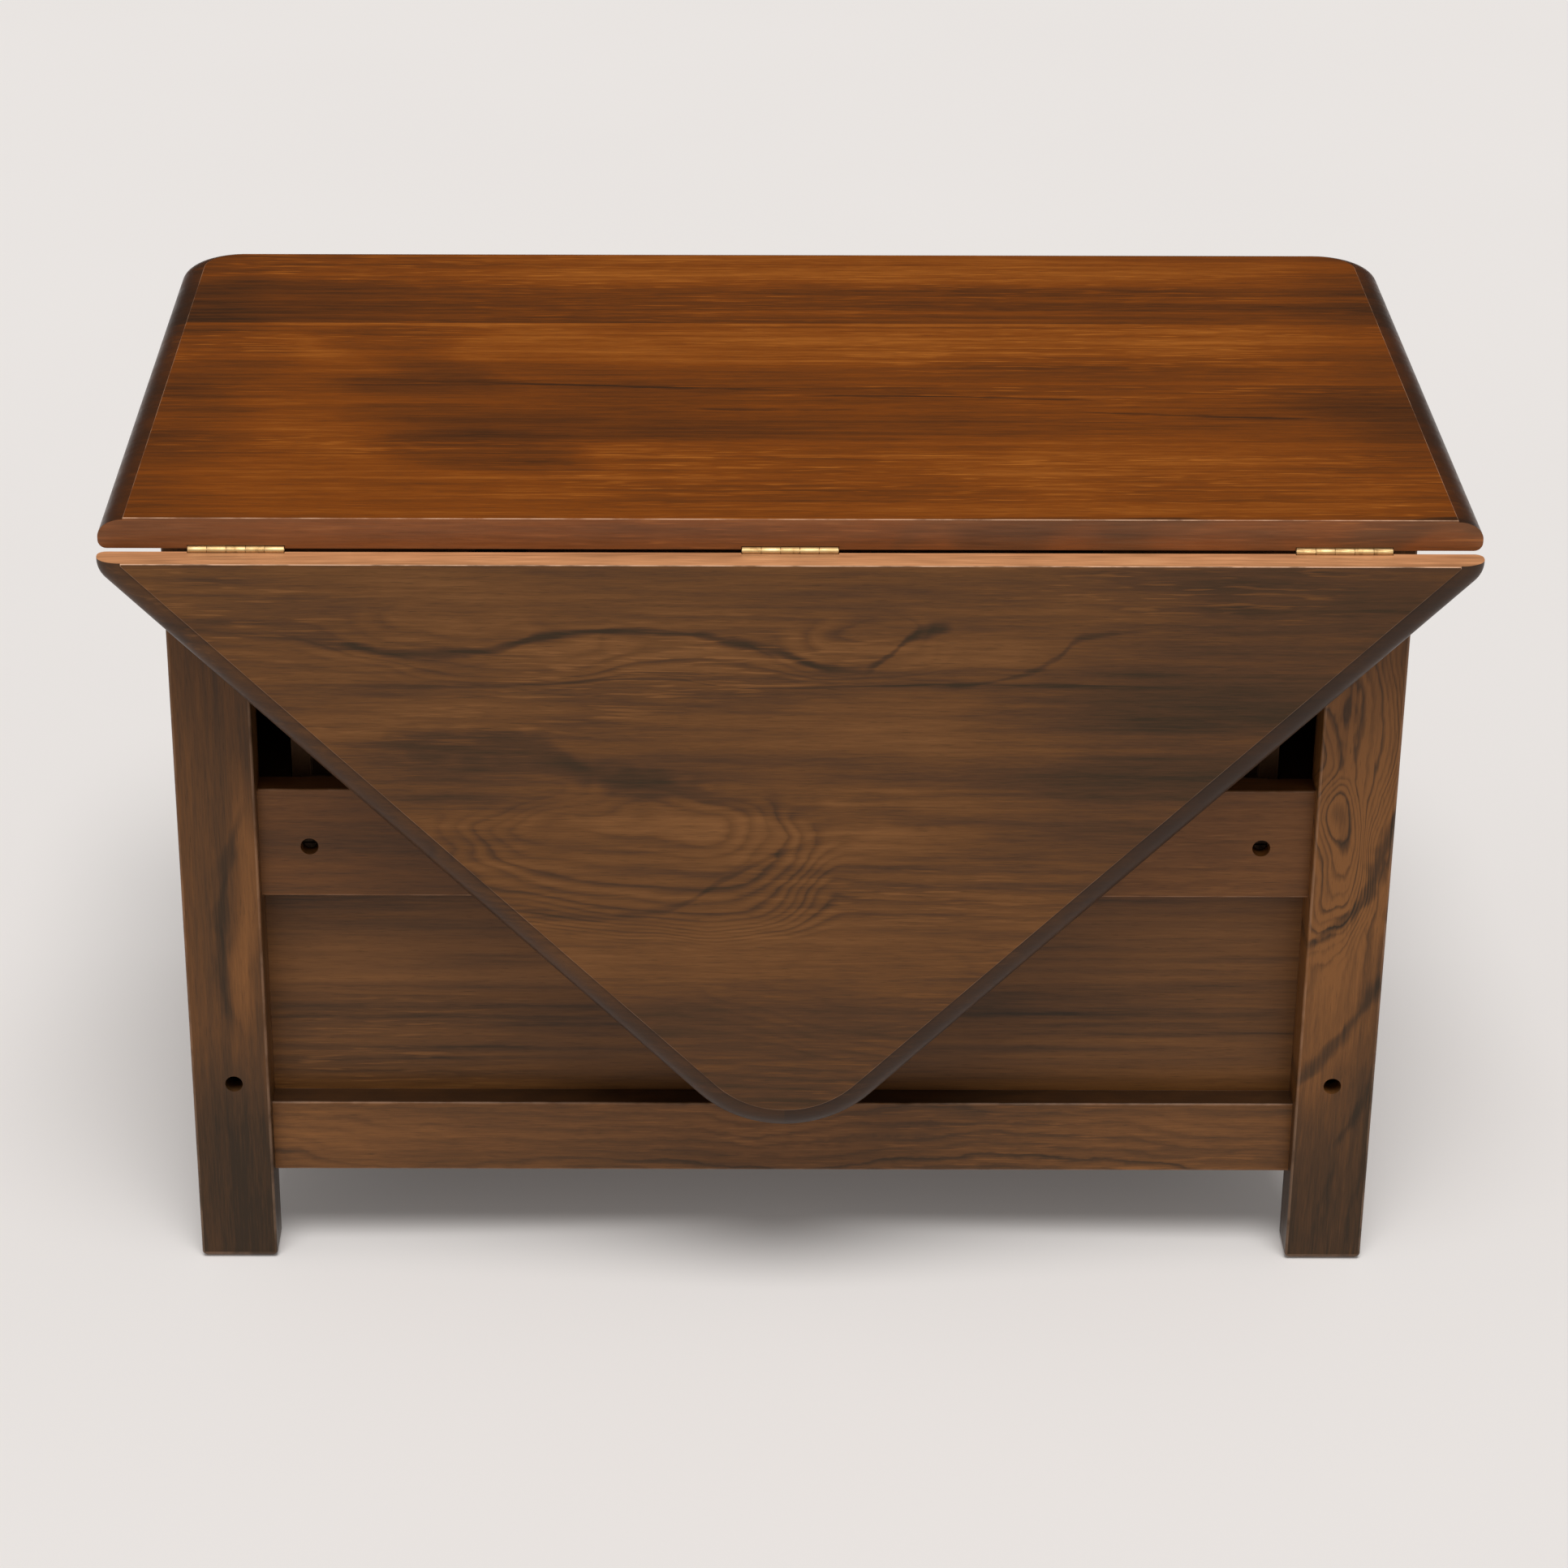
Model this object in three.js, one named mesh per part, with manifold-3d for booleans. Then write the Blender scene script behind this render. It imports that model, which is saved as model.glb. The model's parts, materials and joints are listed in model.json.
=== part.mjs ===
// Low corner chest: a framed case with a moulded top, a triangular drop leaf on its
// rear edge, two drawers at the front, and two pull-out bars that carry the raised leaf.
// Millimetres, +Z up. The leaf hangs on the -Y side (the rear); the drawers open to +Y.
import * as THREE from 'three';
import { mergeVertices } from 'three/addons/utils/BufferGeometryUtils.js';
import Module from 'manifold-3d';

const wasm = await Module();
wasm.setup();

// ---------------------------------------------------------------- overall sizes
const TOP_WIDTH = 802;
const TOP_DEPTH = 480;
const TOP_HEIGHT = 522;
const BOARD = 19;
const UNDERSIDE = TOP_HEIGHT - BOARD;
const HINGE_GAP = 1.5;
const REAR_EDGE = -(TOP_DEPTH - BOARD - HINGE_GAP) / 2;

// Moulded edge of the top and leaf.
const MOULD_WIDTH = 15.1;
const MOULD_STEP = 1.2;
const MOULD_BELLY = 12;
const TOP_CORNER_RADIUS = 40;

// Drop leaf: both slopes run at 45 degrees and would meet at the virtual point.
const LEAF_VIRTUAL_POINT = 408.7;
const LEAF_CORNER_RADIUS = 16;
const LEAF_TIP_RADIUS = 75;
const TRIM = 40;

// Frame. Depth positions are measured from the rear edge of the top.
const LEG_WIDTH = 48;
const LEG_DEPTH = 30;
const LEG_OUTER = 369;
const LEG_INNER = LEG_OUTER - LEG_WIDTH;
const LEG_REAR = 30;
const LEG_FRONT = TOP_DEPTH - LEG_REAR;
const FOOT_CHAMFER = 2.5;
const RAIL_THICK = 18;
const CASE_REAR = LEG_REAR + LEG_DEPTH;
const CASE_FRONT = LEG_FRONT - LEG_DEPTH;
const BOTTOM_RAIL = [58.5, 107.5];
const REAR_UPPER_RAIL = [254, 327];
const MIDDLE_RAIL = [273, 303];
const TOP_RAIL = [463, UNDERSIDE];
const SIDE_BOTTOM_RAIL = [103, 152];
const SIDE_TOP_RAIL = [453, UNDERSIDE];
const SIDE_LINE = 343;
const SIDE_RAIL_THICK = 22;
const TENON_THICK = 8;
const RAIL_TENON = 16;
const SIDE_TENON = 12;
const TENON_SHOULDER = 8;
const FIT_GAP = 0.3;

// Panels.
const PANEL_THICK = 6;
const GROOVE_DEPTH = 6.5;
const REAR_PANEL = [91.5, 270];

// Screws that hold the frame, sunk in counterbores.
const COUNTERBORE_RADIUS = 5.5;
const SCREW_HEAD_RADIUS = 4.6;
const SCREW_SHANK_RADIUS = 2;
const RUNNER_SCREW = { x: 290.5, z: 288, face: LEG_REAR + 12, sink: 9 };
const LEG_SCREW = { x: SIDE_LINE, z: 127.5, face: LEG_REAR, sink: 14 };

// Drawers.
const DRAWER_GAP = 2;
const DRAWER_FRONT_THICK = 18;
const DRAWER_SIDE_THICK = 12;
const DRAWER_OUTER = 303.3;
const DRAWER_BACK_END = 80;
const DRAWER_BOTTOM_THICK = 6;
const UPPER_OPENING = [MIDDLE_RAIL[1], TOP_RAIL[0]];
const LOWER_OPENING = [BOTTOM_RAIL[1], MIDDLE_RAIL[0]];
const RUNNER_INNER = 276;
const RUNNER_GUIDE = 304;
const RUNNER_HEIGHT = 30;
const GUIDE_HEIGHT = 15;
const KNOB_X = 165;
const KNOB_STEM_RADIUS = 4;
const KNOB_STEM = 14;

// Hinges.
const HINGE_CENTRES = { left: -321, middle: 0, right: 321 };
const HINGE_LENGTH = 56;
const KNUCKLES = 5;
const KNUCKLE_RADIUS = 2.4;
const KNUCKLE_GAP = 0.3;
const PIN_RADIUS = 1.25;
const PIN_BORE = 1.4;
const PLATE_THICK = 1.2;
const PLATE_WIDTH = 18;
const PIN_OUT = HINGE_GAP / 2;
const NOTCH_RADIUS = 2.8;

// Pull-out bars under the top.
const BAR_X = 170;
const BAR_WIDTH = 30;
const BAR_HEIGHT = 22;
const BAR_NOSE = 44;
const BAR_LENGTH = 270;
const BAR_STROKE = 230;
const CHANNEL_LENGTH = 240;
const CHANNEL_WALL = 9.6;
const CHANNEL_FLOOR = 8.4;
const BAR_SLACK = 0.4;
const PEG_RADIUS = 3;
const PEG_FROM_END = 15;

// ---------------------------------------------------------------- finishes
const finishes = {
  topWood: [0x7a4019, 0.38, 0],
  leafWood: [0x5b3015, 0.4, 0],
  frameWood: [0x6d3a19, 0.42, 0],
  panelWood: [0x6a3717, 0.5, 0],
  innerWood: [0xa77a4b, 0.65, 0],
  brass: [0xc9a25a, 0.3, 1],
  steel: [0x6f6a63, 0.4, 1],
};

// ---------------------------------------------------------------- solid helpers
function toSolid(geometry) {
  const bare = geometry.clone();
  bare.deleteAttribute('normal');
  bare.deleteAttribute('uv');
  const merged = mergeVertices(bare, 1e-4);
  const snapped = merged.attributes.position.array.map((value) => Math.round(value * 1e4) / 1e4);
  const mesh = new wasm.Mesh({
    numProp: 3,
    vertProperties: new Float32Array(snapped),
    triVerts: new Uint32Array(merged.index.array),
  });
  mesh.merge();
  return new wasm.Manifold(mesh);
}

function toGeometry(solid) {
  const mesh = solid.simplify(0.002).getMesh();
  const geometry = new THREE.BufferGeometry();
  geometry.setAttribute('position', new THREE.BufferAttribute(mesh.vertProperties, 3));
  geometry.setIndex(new THREE.BufferAttribute(mesh.triVerts, 1));
  const faceted = geometry.toNonIndexed();
  faceted.computeVertexNormals();
  return faceted;
}

function makePiece(name, solid, finish) {
  const [color, roughness, metalness] = finishes[finish];
  const material = new THREE.MeshStandardMaterial({ color, roughness, metalness });
  const piece = new THREE.Mesh(toGeometry(solid), material);
  piece.name = name;
  return piece;
}

function box(xs, ys, zs) {
  const [x0, x1] = [Math.min(...xs), Math.max(...xs)];
  const [y0, y1] = [Math.min(...ys), Math.max(...ys)];
  const [z0, z1] = [Math.min(...zs), Math.max(...zs)];
  const geometry = new THREE.BoxGeometry(x1 - x0, y1 - y0, z1 - z0);
  geometry.translate((x0 + x1) / 2, (y0 + y1) / 2, (z0 + z1) / 2);
  return toSolid(geometry);
}

function extrude(points, length) {
  const shape = new THREE.Shape(points.map(([a, b]) => new THREE.Vector2(a, b)));
  return new THREE.ExtrudeGeometry(shape, { depth: length, bevelEnabled: false });
}

// Outline in X and Y, from z0 up to z1.
function prismZ(points, z0, z1) {
  const geometry = extrude(points, z1 - z0);
  geometry.translate(0, 0, z0);
  return toSolid(geometry);
}

// Outline in X and Z, from y0 to y1.
function prismY(points, y0, y1) {
  const geometry = extrude(points, y1 - y0);
  geometry.rotateX(Math.PI / 2);
  geometry.translate(0, y1, 0);
  return toSolid(geometry);
}

// Outline in Y and Z, from x0 to x1.
function prismX(points, x0, x1) {
  const geometry = extrude(points, x1 - x0);
  const alongY = new THREE.Vector3(0, 1, 0);
  const alongZ = new THREE.Vector3(0, 0, 1);
  const alongX = new THREE.Vector3(1, 0, 0);
  geometry.applyMatrix4(new THREE.Matrix4().makeBasis(alongY, alongZ, alongX));
  geometry.translate(x0, 0, 0);
  return toSolid(geometry);
}

function rodX(radius, x0, x1, y, z, sides = 32) {
  const geometry = new THREE.CylinderGeometry(radius, radius, x1 - x0, sides);
  geometry.rotateZ(Math.PI / 2);
  geometry.translate((x0 + x1) / 2, y, z);
  return toSolid(geometry);
}

function rodY(radius, y0, y1, x, z, sides = 32) {
  const geometry = new THREE.CylinderGeometry(radius, radius, y1 - y0, sides);
  geometry.translate(x, (y0 + y1) / 2, z);
  return toSolid(geometry);
}

function rodZ(radius, z0, z1, x, y, sides = 32) {
  const geometry = new THREE.CylinderGeometry(radius, radius, z1 - z0, sides);
  geometry.rotateX(Math.PI / 2);
  geometry.translate(x, y, (z0 + z1) / 2);
  return toSolid(geometry);
}

// Turned about the Z axis at (x, y); the profile lists [radius, z] from bottom to top.
function turned(profile, x, y, sides = 48) {
  const points = profile.map(([radius, z]) => new THREE.Vector2(radius, z));
  const geometry = new THREE.LatheGeometry(points, sides);
  geometry.rotateX(Math.PI / 2);
  geometry.translate(x, y, 0);
  return toSolid(geometry);
}

// ---------------------------------------------------------------- moulded boards
// Points on an arc about a centre, angles in degrees.
function arc([x, y], radius, from, to, steps) {
  const points = [];
  for (let step = 0; step <= steps; step += 1) {
    const angle = THREE.MathUtils.degToRad(from + ((to - from) * step) / steps);
    points.push([x + radius * Math.cos(angle), y + radius * Math.sin(angle)]);
  }
  return points;
}

// Outline of the top, drawn in by the inset; its rear edge on y = 0 is cut square later.
function topOutline(inset) {
  const half = TOP_WIDTH / 2;
  const radius = TOP_CORNER_RADIUS - inset;
  const cornerX = half - TOP_CORNER_RADIUS;
  const cornerY = TOP_DEPTH - TOP_CORNER_RADIUS;
  return [
    [inset - half, -TRIM],
    [half - inset, -TRIM],
    ...arc([cornerX, cornerY], radius, 0, 90, 8),
    ...arc([-cornerX, cornerY], radius, 90, 180, 8),
  ];
}

// Outline of the raised leaf, which runs towards -Y from its hinge edge on y = 0.
function leafOutline(inset) {
  const half = TOP_WIDTH / 2;
  const cornerX = half - LEAF_CORNER_RADIUS;
  const cornerY = -(LEAF_VIRTUAL_POINT - LEAF_CORNER_RADIUS * Math.SQRT2 - cornerX);
  const tipY = -(LEAF_VIRTUAL_POINT - LEAF_TIP_RADIUS * Math.SQRT2);
  return [
    [half - inset, TRIM],
    [inset - half, TRIM],
    ...arc([-cornerX, cornerY], LEAF_CORNER_RADIUS - inset, 180, 225, 3),
    ...arc([0, tipY], LEAF_TIP_RADIUS - inset, 225, 315, 12),
    ...arc([cornerX, cornerY], LEAF_CORNER_RADIUS - inset, 315, 360, 3),
  ];
}

// A board with a square hinge edge on y = 0 and a moulding round the rest: a small step
// down from the field, then a quarter-ellipse. The face is on z = 0.
function mouldedBoard(outlineAt, ySpan) {
  const bellyOut = MOULD_WIDTH - 0.3;
  const bellyDrop = MOULD_BELLY - MOULD_STEP;
  const shape = new THREE.Shape(outlineAt(bellyOut).map(([x, y]) => new THREE.Vector2(x, y)));
  const geometry = new THREE.ExtrudeGeometry(shape, {
    depth: BOARD,
    bevelEnabled: true,
    bevelSize: bellyOut,
    bevelThickness: bellyDrop,
    bevelSegments: 7,
  });
  geometry.translate(0, 0, -MOULD_STEP - BOARD - bellyDrop);
  const field = prismZ(outlineAt(MOULD_WIDTH), -BOARD / 2, 0);
  const half = TOP_WIDTH / 2;
  const bounds = box([-half - 1, half + 1], ySpan, [-BOARD, 1]);
  return toSolid(geometry).add(field).intersect(bounds);
}

// Room along the hinge edge for the knuckles and the let-in plates. away is the sign of
// the direction from the hinge edge into the board.
function cutHingeRoom(board, away) {
  let result = board;
  const reach = HINGE_LENGTH / 2 + FIT_GAP;
  for (const x of Object.values(HINGE_CENTRES)) {
    const span = [x - reach, x + reach];
    const knuckles = rodX(NOTCH_RADIUS, span[0], span[1], -away * PIN_OUT, -BOARD - PIN_OUT);
    const plateY = [-away, away * (PLATE_WIDTH + FIT_GAP)];
    const plate = box(span, plateY, [-BOARD - 1, -BOARD + PLATE_THICK + FIT_GAP]);
    result = result.subtract(knuckles).subtract(plate);
  }
  return result;
}

function buildTop() {
  const board = mouldedBoard(topOutline, [0, TOP_DEPTH + 1]);
  const piece = makePiece('top_board', cutHingeRoom(board, 1), 'topWood');
  piece.position.set(0, REAR_EDGE, TOP_HEIGHT);
  return piece;
}

// The leaf is shaped as if raised, level with the top, then hung.
function buildLeaf() {
  const board = mouldedBoard(leafOutline, [-LEAF_VIRTUAL_POINT, 0]);
  const piece = makePiece('drop_leaf', cutHingeRoom(board, -1), 'leafWood');
  piece.rotation.x = Math.PI / 2;
  piece.position.set(0, REAR_EDGE - HINGE_GAP - BOARD, UNDERSIDE - HINGE_GAP);
  return piece;
}

// ---------------------------------------------------------------- frame
function tenonSpan([low, high]) {
  return [low + TENON_SHOULDER, high - TENON_SHOULDER];
}

function widened([low, high], gap) {
  return [Math.min(low, high) - gap, Math.max(low, high) + gap];
}

// A leg about its own centre line, standing on z = 0. side is -1 or 1 along X; end is
// -1 for a rear leg and 1 for a front leg.
function buildLeg(name, side, end) {
  const halfW = LEG_WIDTH / 2;
  const halfD = LEG_DEPTH / 2;
  const c = FOOT_CHAMFER;
  const wide = [
    [-halfW, c], [-halfW + c, 0], [halfW - c, 0],
    [halfW, c], [halfW, UNDERSIDE], [-halfW, UNDERSIDE],
  ];
  const deep = [
    [-halfD, c], [-halfD + c, 0], [halfD - c, 0],
    [halfD, c], [halfD, UNDERSIDE], [-halfD, UNDERSIDE],
  ];
  let leg = prismY(wide, -halfD, halfD).intersect(prismX(deep, -halfW, halfW));
  const centreX = LEG_OUTER - halfW;
  const railLine = end * (12 + RAIL_THICK / 2 - halfD) * -1;
  const sideLine = side * (SIDE_LINE - centreX);
  const inX = -side * halfW;
  const inY = -end * halfD;
  const midRail = end < 0 ? REAR_UPPER_RAIL : MIDDLE_RAIL;
  for (const rail of [BOTTOM_RAIL, midRail, TOP_RAIL]) {
    const xs = [inX, inX + side * (RAIL_TENON + FIT_GAP)];
    const ys = widened([railLine - TENON_THICK / 2, railLine + TENON_THICK / 2], FIT_GAP);
    leg = leg.subtract(box(widened(xs, 0.001), ys, widened(tenonSpan(rail), FIT_GAP)));
  }
  for (const rail of [SIDE_BOTTOM_RAIL, SIDE_TOP_RAIL]) {
    const xs = widened([sideLine - TENON_THICK / 2, sideLine + TENON_THICK / 2], FIT_GAP);
    const ys = widened([inY, inY + end * (SIDE_TENON + FIT_GAP)], 0.001);
    leg = leg.subtract(box(xs, ys, widened(tenonSpan(rail), FIT_GAP)));
  }
  const grooveX = widened([sideLine - PANEL_THICK / 2, sideLine + PANEL_THICK / 2], FIT_GAP);
  const grooveY = widened([inY, inY + end * GROOVE_DEPTH], 0.001);
  leg = leg.subtract(box(grooveX, grooveY, [SIDE_BOTTOM_RAIL[1], SIDE_TOP_RAIL[0]]));
  if (end < 0) {
    const screwX = side * (LEG_SCREW.x - centreX);
    const seat = -halfD + LEG_SCREW.sink;
    const bore = SCREW_SHANK_RADIUS + FIT_GAP;
    leg = leg.subtract(rodY(COUNTERBORE_RADIUS, -halfD - 1, seat, screwX, LEG_SCREW.z));
    leg = leg.subtract(rodY(bore, -halfD, halfD + 1, screwX, LEG_SCREW.z));
  }
  const piece = makePiece(name, leg, 'frameWood');
  const along = end < 0 ? LEG_REAR + halfD : LEG_FRONT - halfD;
  piece.position.set(side * centreX, REAR_EDGE + along, 0);
  return piece;
}

// A rail across the case, with a tenon at each end, centred on x = 0 and y = 0.
function crossRailSolid(span) {
  const half = RAIL_THICK / 2;
  const tenonHalf = TENON_THICK / 2;
  const bar = box([-LEG_INNER, LEG_INNER], [-half, half], span);
  const reach = LEG_INNER + RAIL_TENON;
  return bar.add(box([-reach, reach], [-tenonHalf, tenonHalf], tenonSpan(span)));
}

function placeCrossRail(name, solid, end) {
  const piece = makePiece(name, solid, 'frameWood');
  const fromFace = 12 + RAIL_THICK / 2;
  const along = end < 0 ? LEG_REAR + fromFace : LEG_FRONT - fromFace;
  piece.position.set(0, REAR_EDGE + along, 0);
  return piece;
}

function buildRearTopRail() {
  let rail = crossRailSolid(TOP_RAIL);
  for (const side of [-1, 1]) {
    const xs = widened([side * BAR_X - BAR_WIDTH / 2, side * BAR_X + BAR_WIDTH / 2], BAR_SLACK);
    const floor = UNDERSIDE - BAR_HEIGHT - 2 * FIT_GAP;
    rail = rail.subtract(box(xs, [-RAIL_THICK, RAIL_THICK], [floor, UNDERSIDE + 1]));
  }
  return placeCrossRail('rear_top_rail', rail, -1);
}

function buildRearUpperRail() {
  let rail = crossRailSolid(REAR_UPPER_RAIL);
  const half = RAIL_THICK / 2;
  const seat = -half + RUNNER_SCREW.sink;
  const bore = SCREW_SHANK_RADIUS + FIT_GAP;
  for (const side of [-1, 1]) {
    const x = side * RUNNER_SCREW.x;
    rail = rail.subtract(rodY(COUNTERBORE_RADIUS, -half - 1, seat, x, RUNNER_SCREW.z));
    rail = rail.subtract(rodY(bore, -half, half + 1, x, RUNNER_SCREW.z));
  }
  return placeCrossRail('rear_upper_rail', rail, -1);
}

// A side rail between a rear and a front leg, centred on x = 0; y = 0 is its rear end.
function buildSideRail(name, side, span, grooveOnTop) {
  const length = CASE_FRONT - CASE_REAR;
  const half = SIDE_RAIL_THICK / 2;
  const tenonHalf = TENON_THICK / 2;
  let rail = box([-half, half], [0, length], span);
  const tenonEnds = [-SIDE_TENON, length + SIDE_TENON];
  rail = rail.add(box([-tenonHalf, tenonHalf], tenonEnds, tenonSpan(span)));
  const grooveHalf = PANEL_THICK / 2 + FIT_GAP;
  const grooveSpan = grooveOnTop
    ? [span[1] - GROOVE_DEPTH, span[1] + 1]
    : [span[0] - 1, span[0] + GROOVE_DEPTH];
  rail = rail.subtract(box([-grooveHalf, grooveHalf], [-1, length + 1], grooveSpan));
  if (grooveOnTop) {
    const bore = SCREW_SHANK_RADIUS + FIT_GAP;
    rail = rail.subtract(rodY(bore, -SIDE_TENON - 1, 30, 0, LEG_SCREW.z));
  }
  const piece = makePiece(name, rail, 'frameWood');
  piece.position.set(side * SIDE_LINE, REAR_EDGE + CASE_REAR, 0);
  return piece;
}

function buildSidePanel(name, side) {
  const half = PANEL_THICK / 2;
  const tongue = GROOVE_DEPTH - 0.5;
  const length = CASE_FRONT - CASE_REAR;
  const span = [SIDE_BOTTOM_RAIL[1] - tongue, SIDE_TOP_RAIL[0] + tongue];
  const deep = [SIDE_BOTTOM_RAIL[1] + FIT_GAP, SIDE_TOP_RAIL[0] - FIT_GAP];
  let panel = box([-half, half], [0, length], span);
  panel = panel.add(box([-half, half], [-tongue, length + tongue], deep));
  const piece = makePiece(name, panel, 'panelWood');
  piece.position.set(side * SIDE_LINE, REAR_EDGE + CASE_REAR, 0);
  return piece;
}

function buildRearPanel() {
  const half = SIDE_LINE - SIDE_RAIL_THICK / 2 - 0.5;
  const panel = box([-half, half], [0, PANEL_THICK], REAR_PANEL);
  const piece = makePiece('rear_panel', panel, 'panelWood');
  piece.position.set(0, REAR_EDGE + CASE_REAR, 0);
  return piece;
}

// A drawer runner: an L section whose ledge carries a drawer side and whose raised strip
// guides it. bearing is the height of the ledge.
function buildRunner(name, side, bearing, outer, start) {
  const guide = bearing + GUIDE_HEIGHT;
  const section = [
    [RUNNER_INNER, bearing - RUNNER_HEIGHT], [outer, bearing - RUNNER_HEIGHT], [outer, guide],
    [RUNNER_GUIDE, guide], [RUNNER_GUIDE, bearing], [RUNNER_INNER, bearing],
  ];
  const outline = section.map(([x, z]) => [side * x, z]);
  const ledge = prismY(outline, 0, CASE_FRONT - start);
  const stripEnd = CASE_FRONT - start - 2;
  const clearanceX = [side * RUNNER_GUIDE, side * (outer + 1)];
  const clearance = box(clearanceX, [stripEnd, CASE_FRONT], [bearing, guide + 1]);
  let runner = ledge.subtract(clearance);
  if (start === CASE_REAR) {
    const bore = SCREW_SHANK_RADIUS + FIT_GAP;
    runner = runner.subtract(rodY(bore, -1, 30, side * RUNNER_SCREW.x, RUNNER_SCREW.z));
  }
  const piece = makePiece(name, runner, 'innerWood');
  piece.position.set(0, REAR_EDGE + start, 0);
  return piece;
}

// A countersunk-in frame screw lying along Y; its head's outer face is on y = 0.
function buildFrameScrew(name, side, seat) {
  const headThick = 3;
  const reach = seat === LEG_SCREW ? 42 : 34;
  const profile = [
    [0, -reach], [SCREW_SHANK_RADIUS * 0.4, -reach], [SCREW_SHANK_RADIUS, -reach + 5],
    [SCREW_SHANK_RADIUS, -headThick], [SCREW_HEAD_RADIUS, -headThick],
    [SCREW_HEAD_RADIUS, -0.8], [SCREW_HEAD_RADIUS - 0.8, 0], [0, 0],
  ];
  let screw = turned(profile, 0, 0, 24);
  const slot = 0.6;
  screw = screw.subtract(box([-SCREW_HEAD_RADIUS, SCREW_HEAD_RADIUS], [-slot, slot], [-1.2, 1]));
  const piece = makePiece(name, screw, 'steel');
  piece.rotation.x = Math.PI / 2;
  piece.position.set(side * seat.x, REAR_EDGE + seat.face + seat.sink - headThick, seat.z);
  return piece;
}

// ---------------------------------------------------------------- drawers
function buildKnob(name, x, z) {
  const profile = [
    [0, -KNOB_STEM], [KNOB_STEM_RADIUS, -KNOB_STEM], [KNOB_STEM_RADIUS, 0],
    [9, 0], [9, 1.5], [7, 4], [6.5, 8], [8, 11.5], [12.5, 14], [15, 17.5],
    [14.5, 20.5], [11.5, 23], [6, 24.6], [0, 25],
  ];
  const piece = makePiece(name, turned(profile, 0, 0, 24), 'frameWood');
  piece.rotation.x = -Math.PI / 2;
  piece.position.set(x, REAR_EDGE + CASE_FRONT + DRAWER_FRONT_THICK, z);
  return piece;
}

function buildDrawer(prefix, opening) {
  const [low, high] = opening;
  const frontSpan = [low + DRAWER_GAP, high - DRAWER_GAP];
  const sideLow = low + FIT_GAP;
  const sideHigh = high - 18;
  const bottomZ = sideLow + 8;
  const grooveZ = widened([bottomZ, bottomZ + DRAWER_BOTTOM_THICK], FIT_GAP);
  const inner = DRAWER_OUTER - DRAWER_SIDE_THICK;
  const frontHalf = LEG_INNER - DRAWER_GAP;
  const length = CASE_FRONT - DRAWER_BACK_END;
  const knobZ = (low + high) / 2;
  const drawer = new THREE.Group();
  drawer.name = `${prefix}_drawer`;

  let front = box([-frontHalf, frontHalf], [0, DRAWER_FRONT_THICK], frontSpan);
  front = front.subtract(box([-inner, inner], [-1, GROOVE_DEPTH], grooveZ));
  for (const side of [-1, 1]) {
    const hole = KNOB_STEM_RADIUS + FIT_GAP;
    const holeStart = DRAWER_FRONT_THICK - KNOB_STEM - FIT_GAP;
    front = front.subtract(rodY(hole, holeStart, DRAWER_FRONT_THICK + 1, side * KNOB_X, knobZ));
  }
  const frontPiece = makePiece(`${prefix}_drawer_front`, front, 'frameWood');
  frontPiece.position.set(0, REAR_EDGE + CASE_FRONT, 0);
  drawer.add(frontPiece);

  for (const [word, side] of [['left', -1], ['right', 1]]) {
    const xs = [side * inner, side * DRAWER_OUTER];
    const groove = [side * (inner - 1), side * (inner + GROOVE_DEPTH)];
    let board = box(xs, [0, length], [sideLow, sideHigh]);
    board = board.subtract(box(groove, [-1, length + 1], grooveZ));
    const piece = makePiece(`${prefix}_drawer_side_${word}`, board, 'innerWood');
    piece.position.set(0, REAR_EDGE + DRAWER_BACK_END, 0);
    drawer.add(piece);
    drawer.add(buildKnob(`${prefix}_drawer_knob_${word}`, side * KNOB_X, knobZ));
  }

  const backLow = bottomZ + DRAWER_BOTTOM_THICK + FIT_GAP;
  const back = box([-inner, inner], [0, DRAWER_SIDE_THICK], [backLow, sideHigh - 10]);
  const backPiece = makePiece(`${prefix}_drawer_back`, back, 'innerWood');
  backPiece.position.set(0, REAR_EDGE + DRAWER_BACK_END, 0);
  drawer.add(backPiece);

  const tongue = GROOVE_DEPTH - 0.5;
  const bottomZs = [bottomZ, bottomZ + DRAWER_BOTTOM_THICK];
  let bottom = box([-inner - tongue, inner + tongue], [0, length - FIT_GAP], bottomZs);
  bottom = bottom.add(box([-inner + FIT_GAP, inner - FIT_GAP], [0, length + tongue], bottomZs));
  const bottomPiece = makePiece(`${prefix}_drawer_bottom`, bottom, 'innerWood');
  bottomPiece.position.set(0, REAR_EDGE + DRAWER_BACK_END, 0);
  drawer.add(bottomPiece);
  return drawer;
}

// ---------------------------------------------------------------- hinges
// Knuckles of one hinge half, numbered along X, about the pin's axis at y = z = 0.
function knuckleRow(first) {
  const pitch = HINGE_LENGTH / KNUCKLES;
  const rows = [];
  for (let index = first; index < KNUCKLES; index += 2) {
    const start = -HINGE_LENGTH / 2 + index * pitch + KNUCKLE_GAP / 2;
    rows.push([start, start + pitch - KNUCKLE_GAP]);
  }
  return rows;
}

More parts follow.
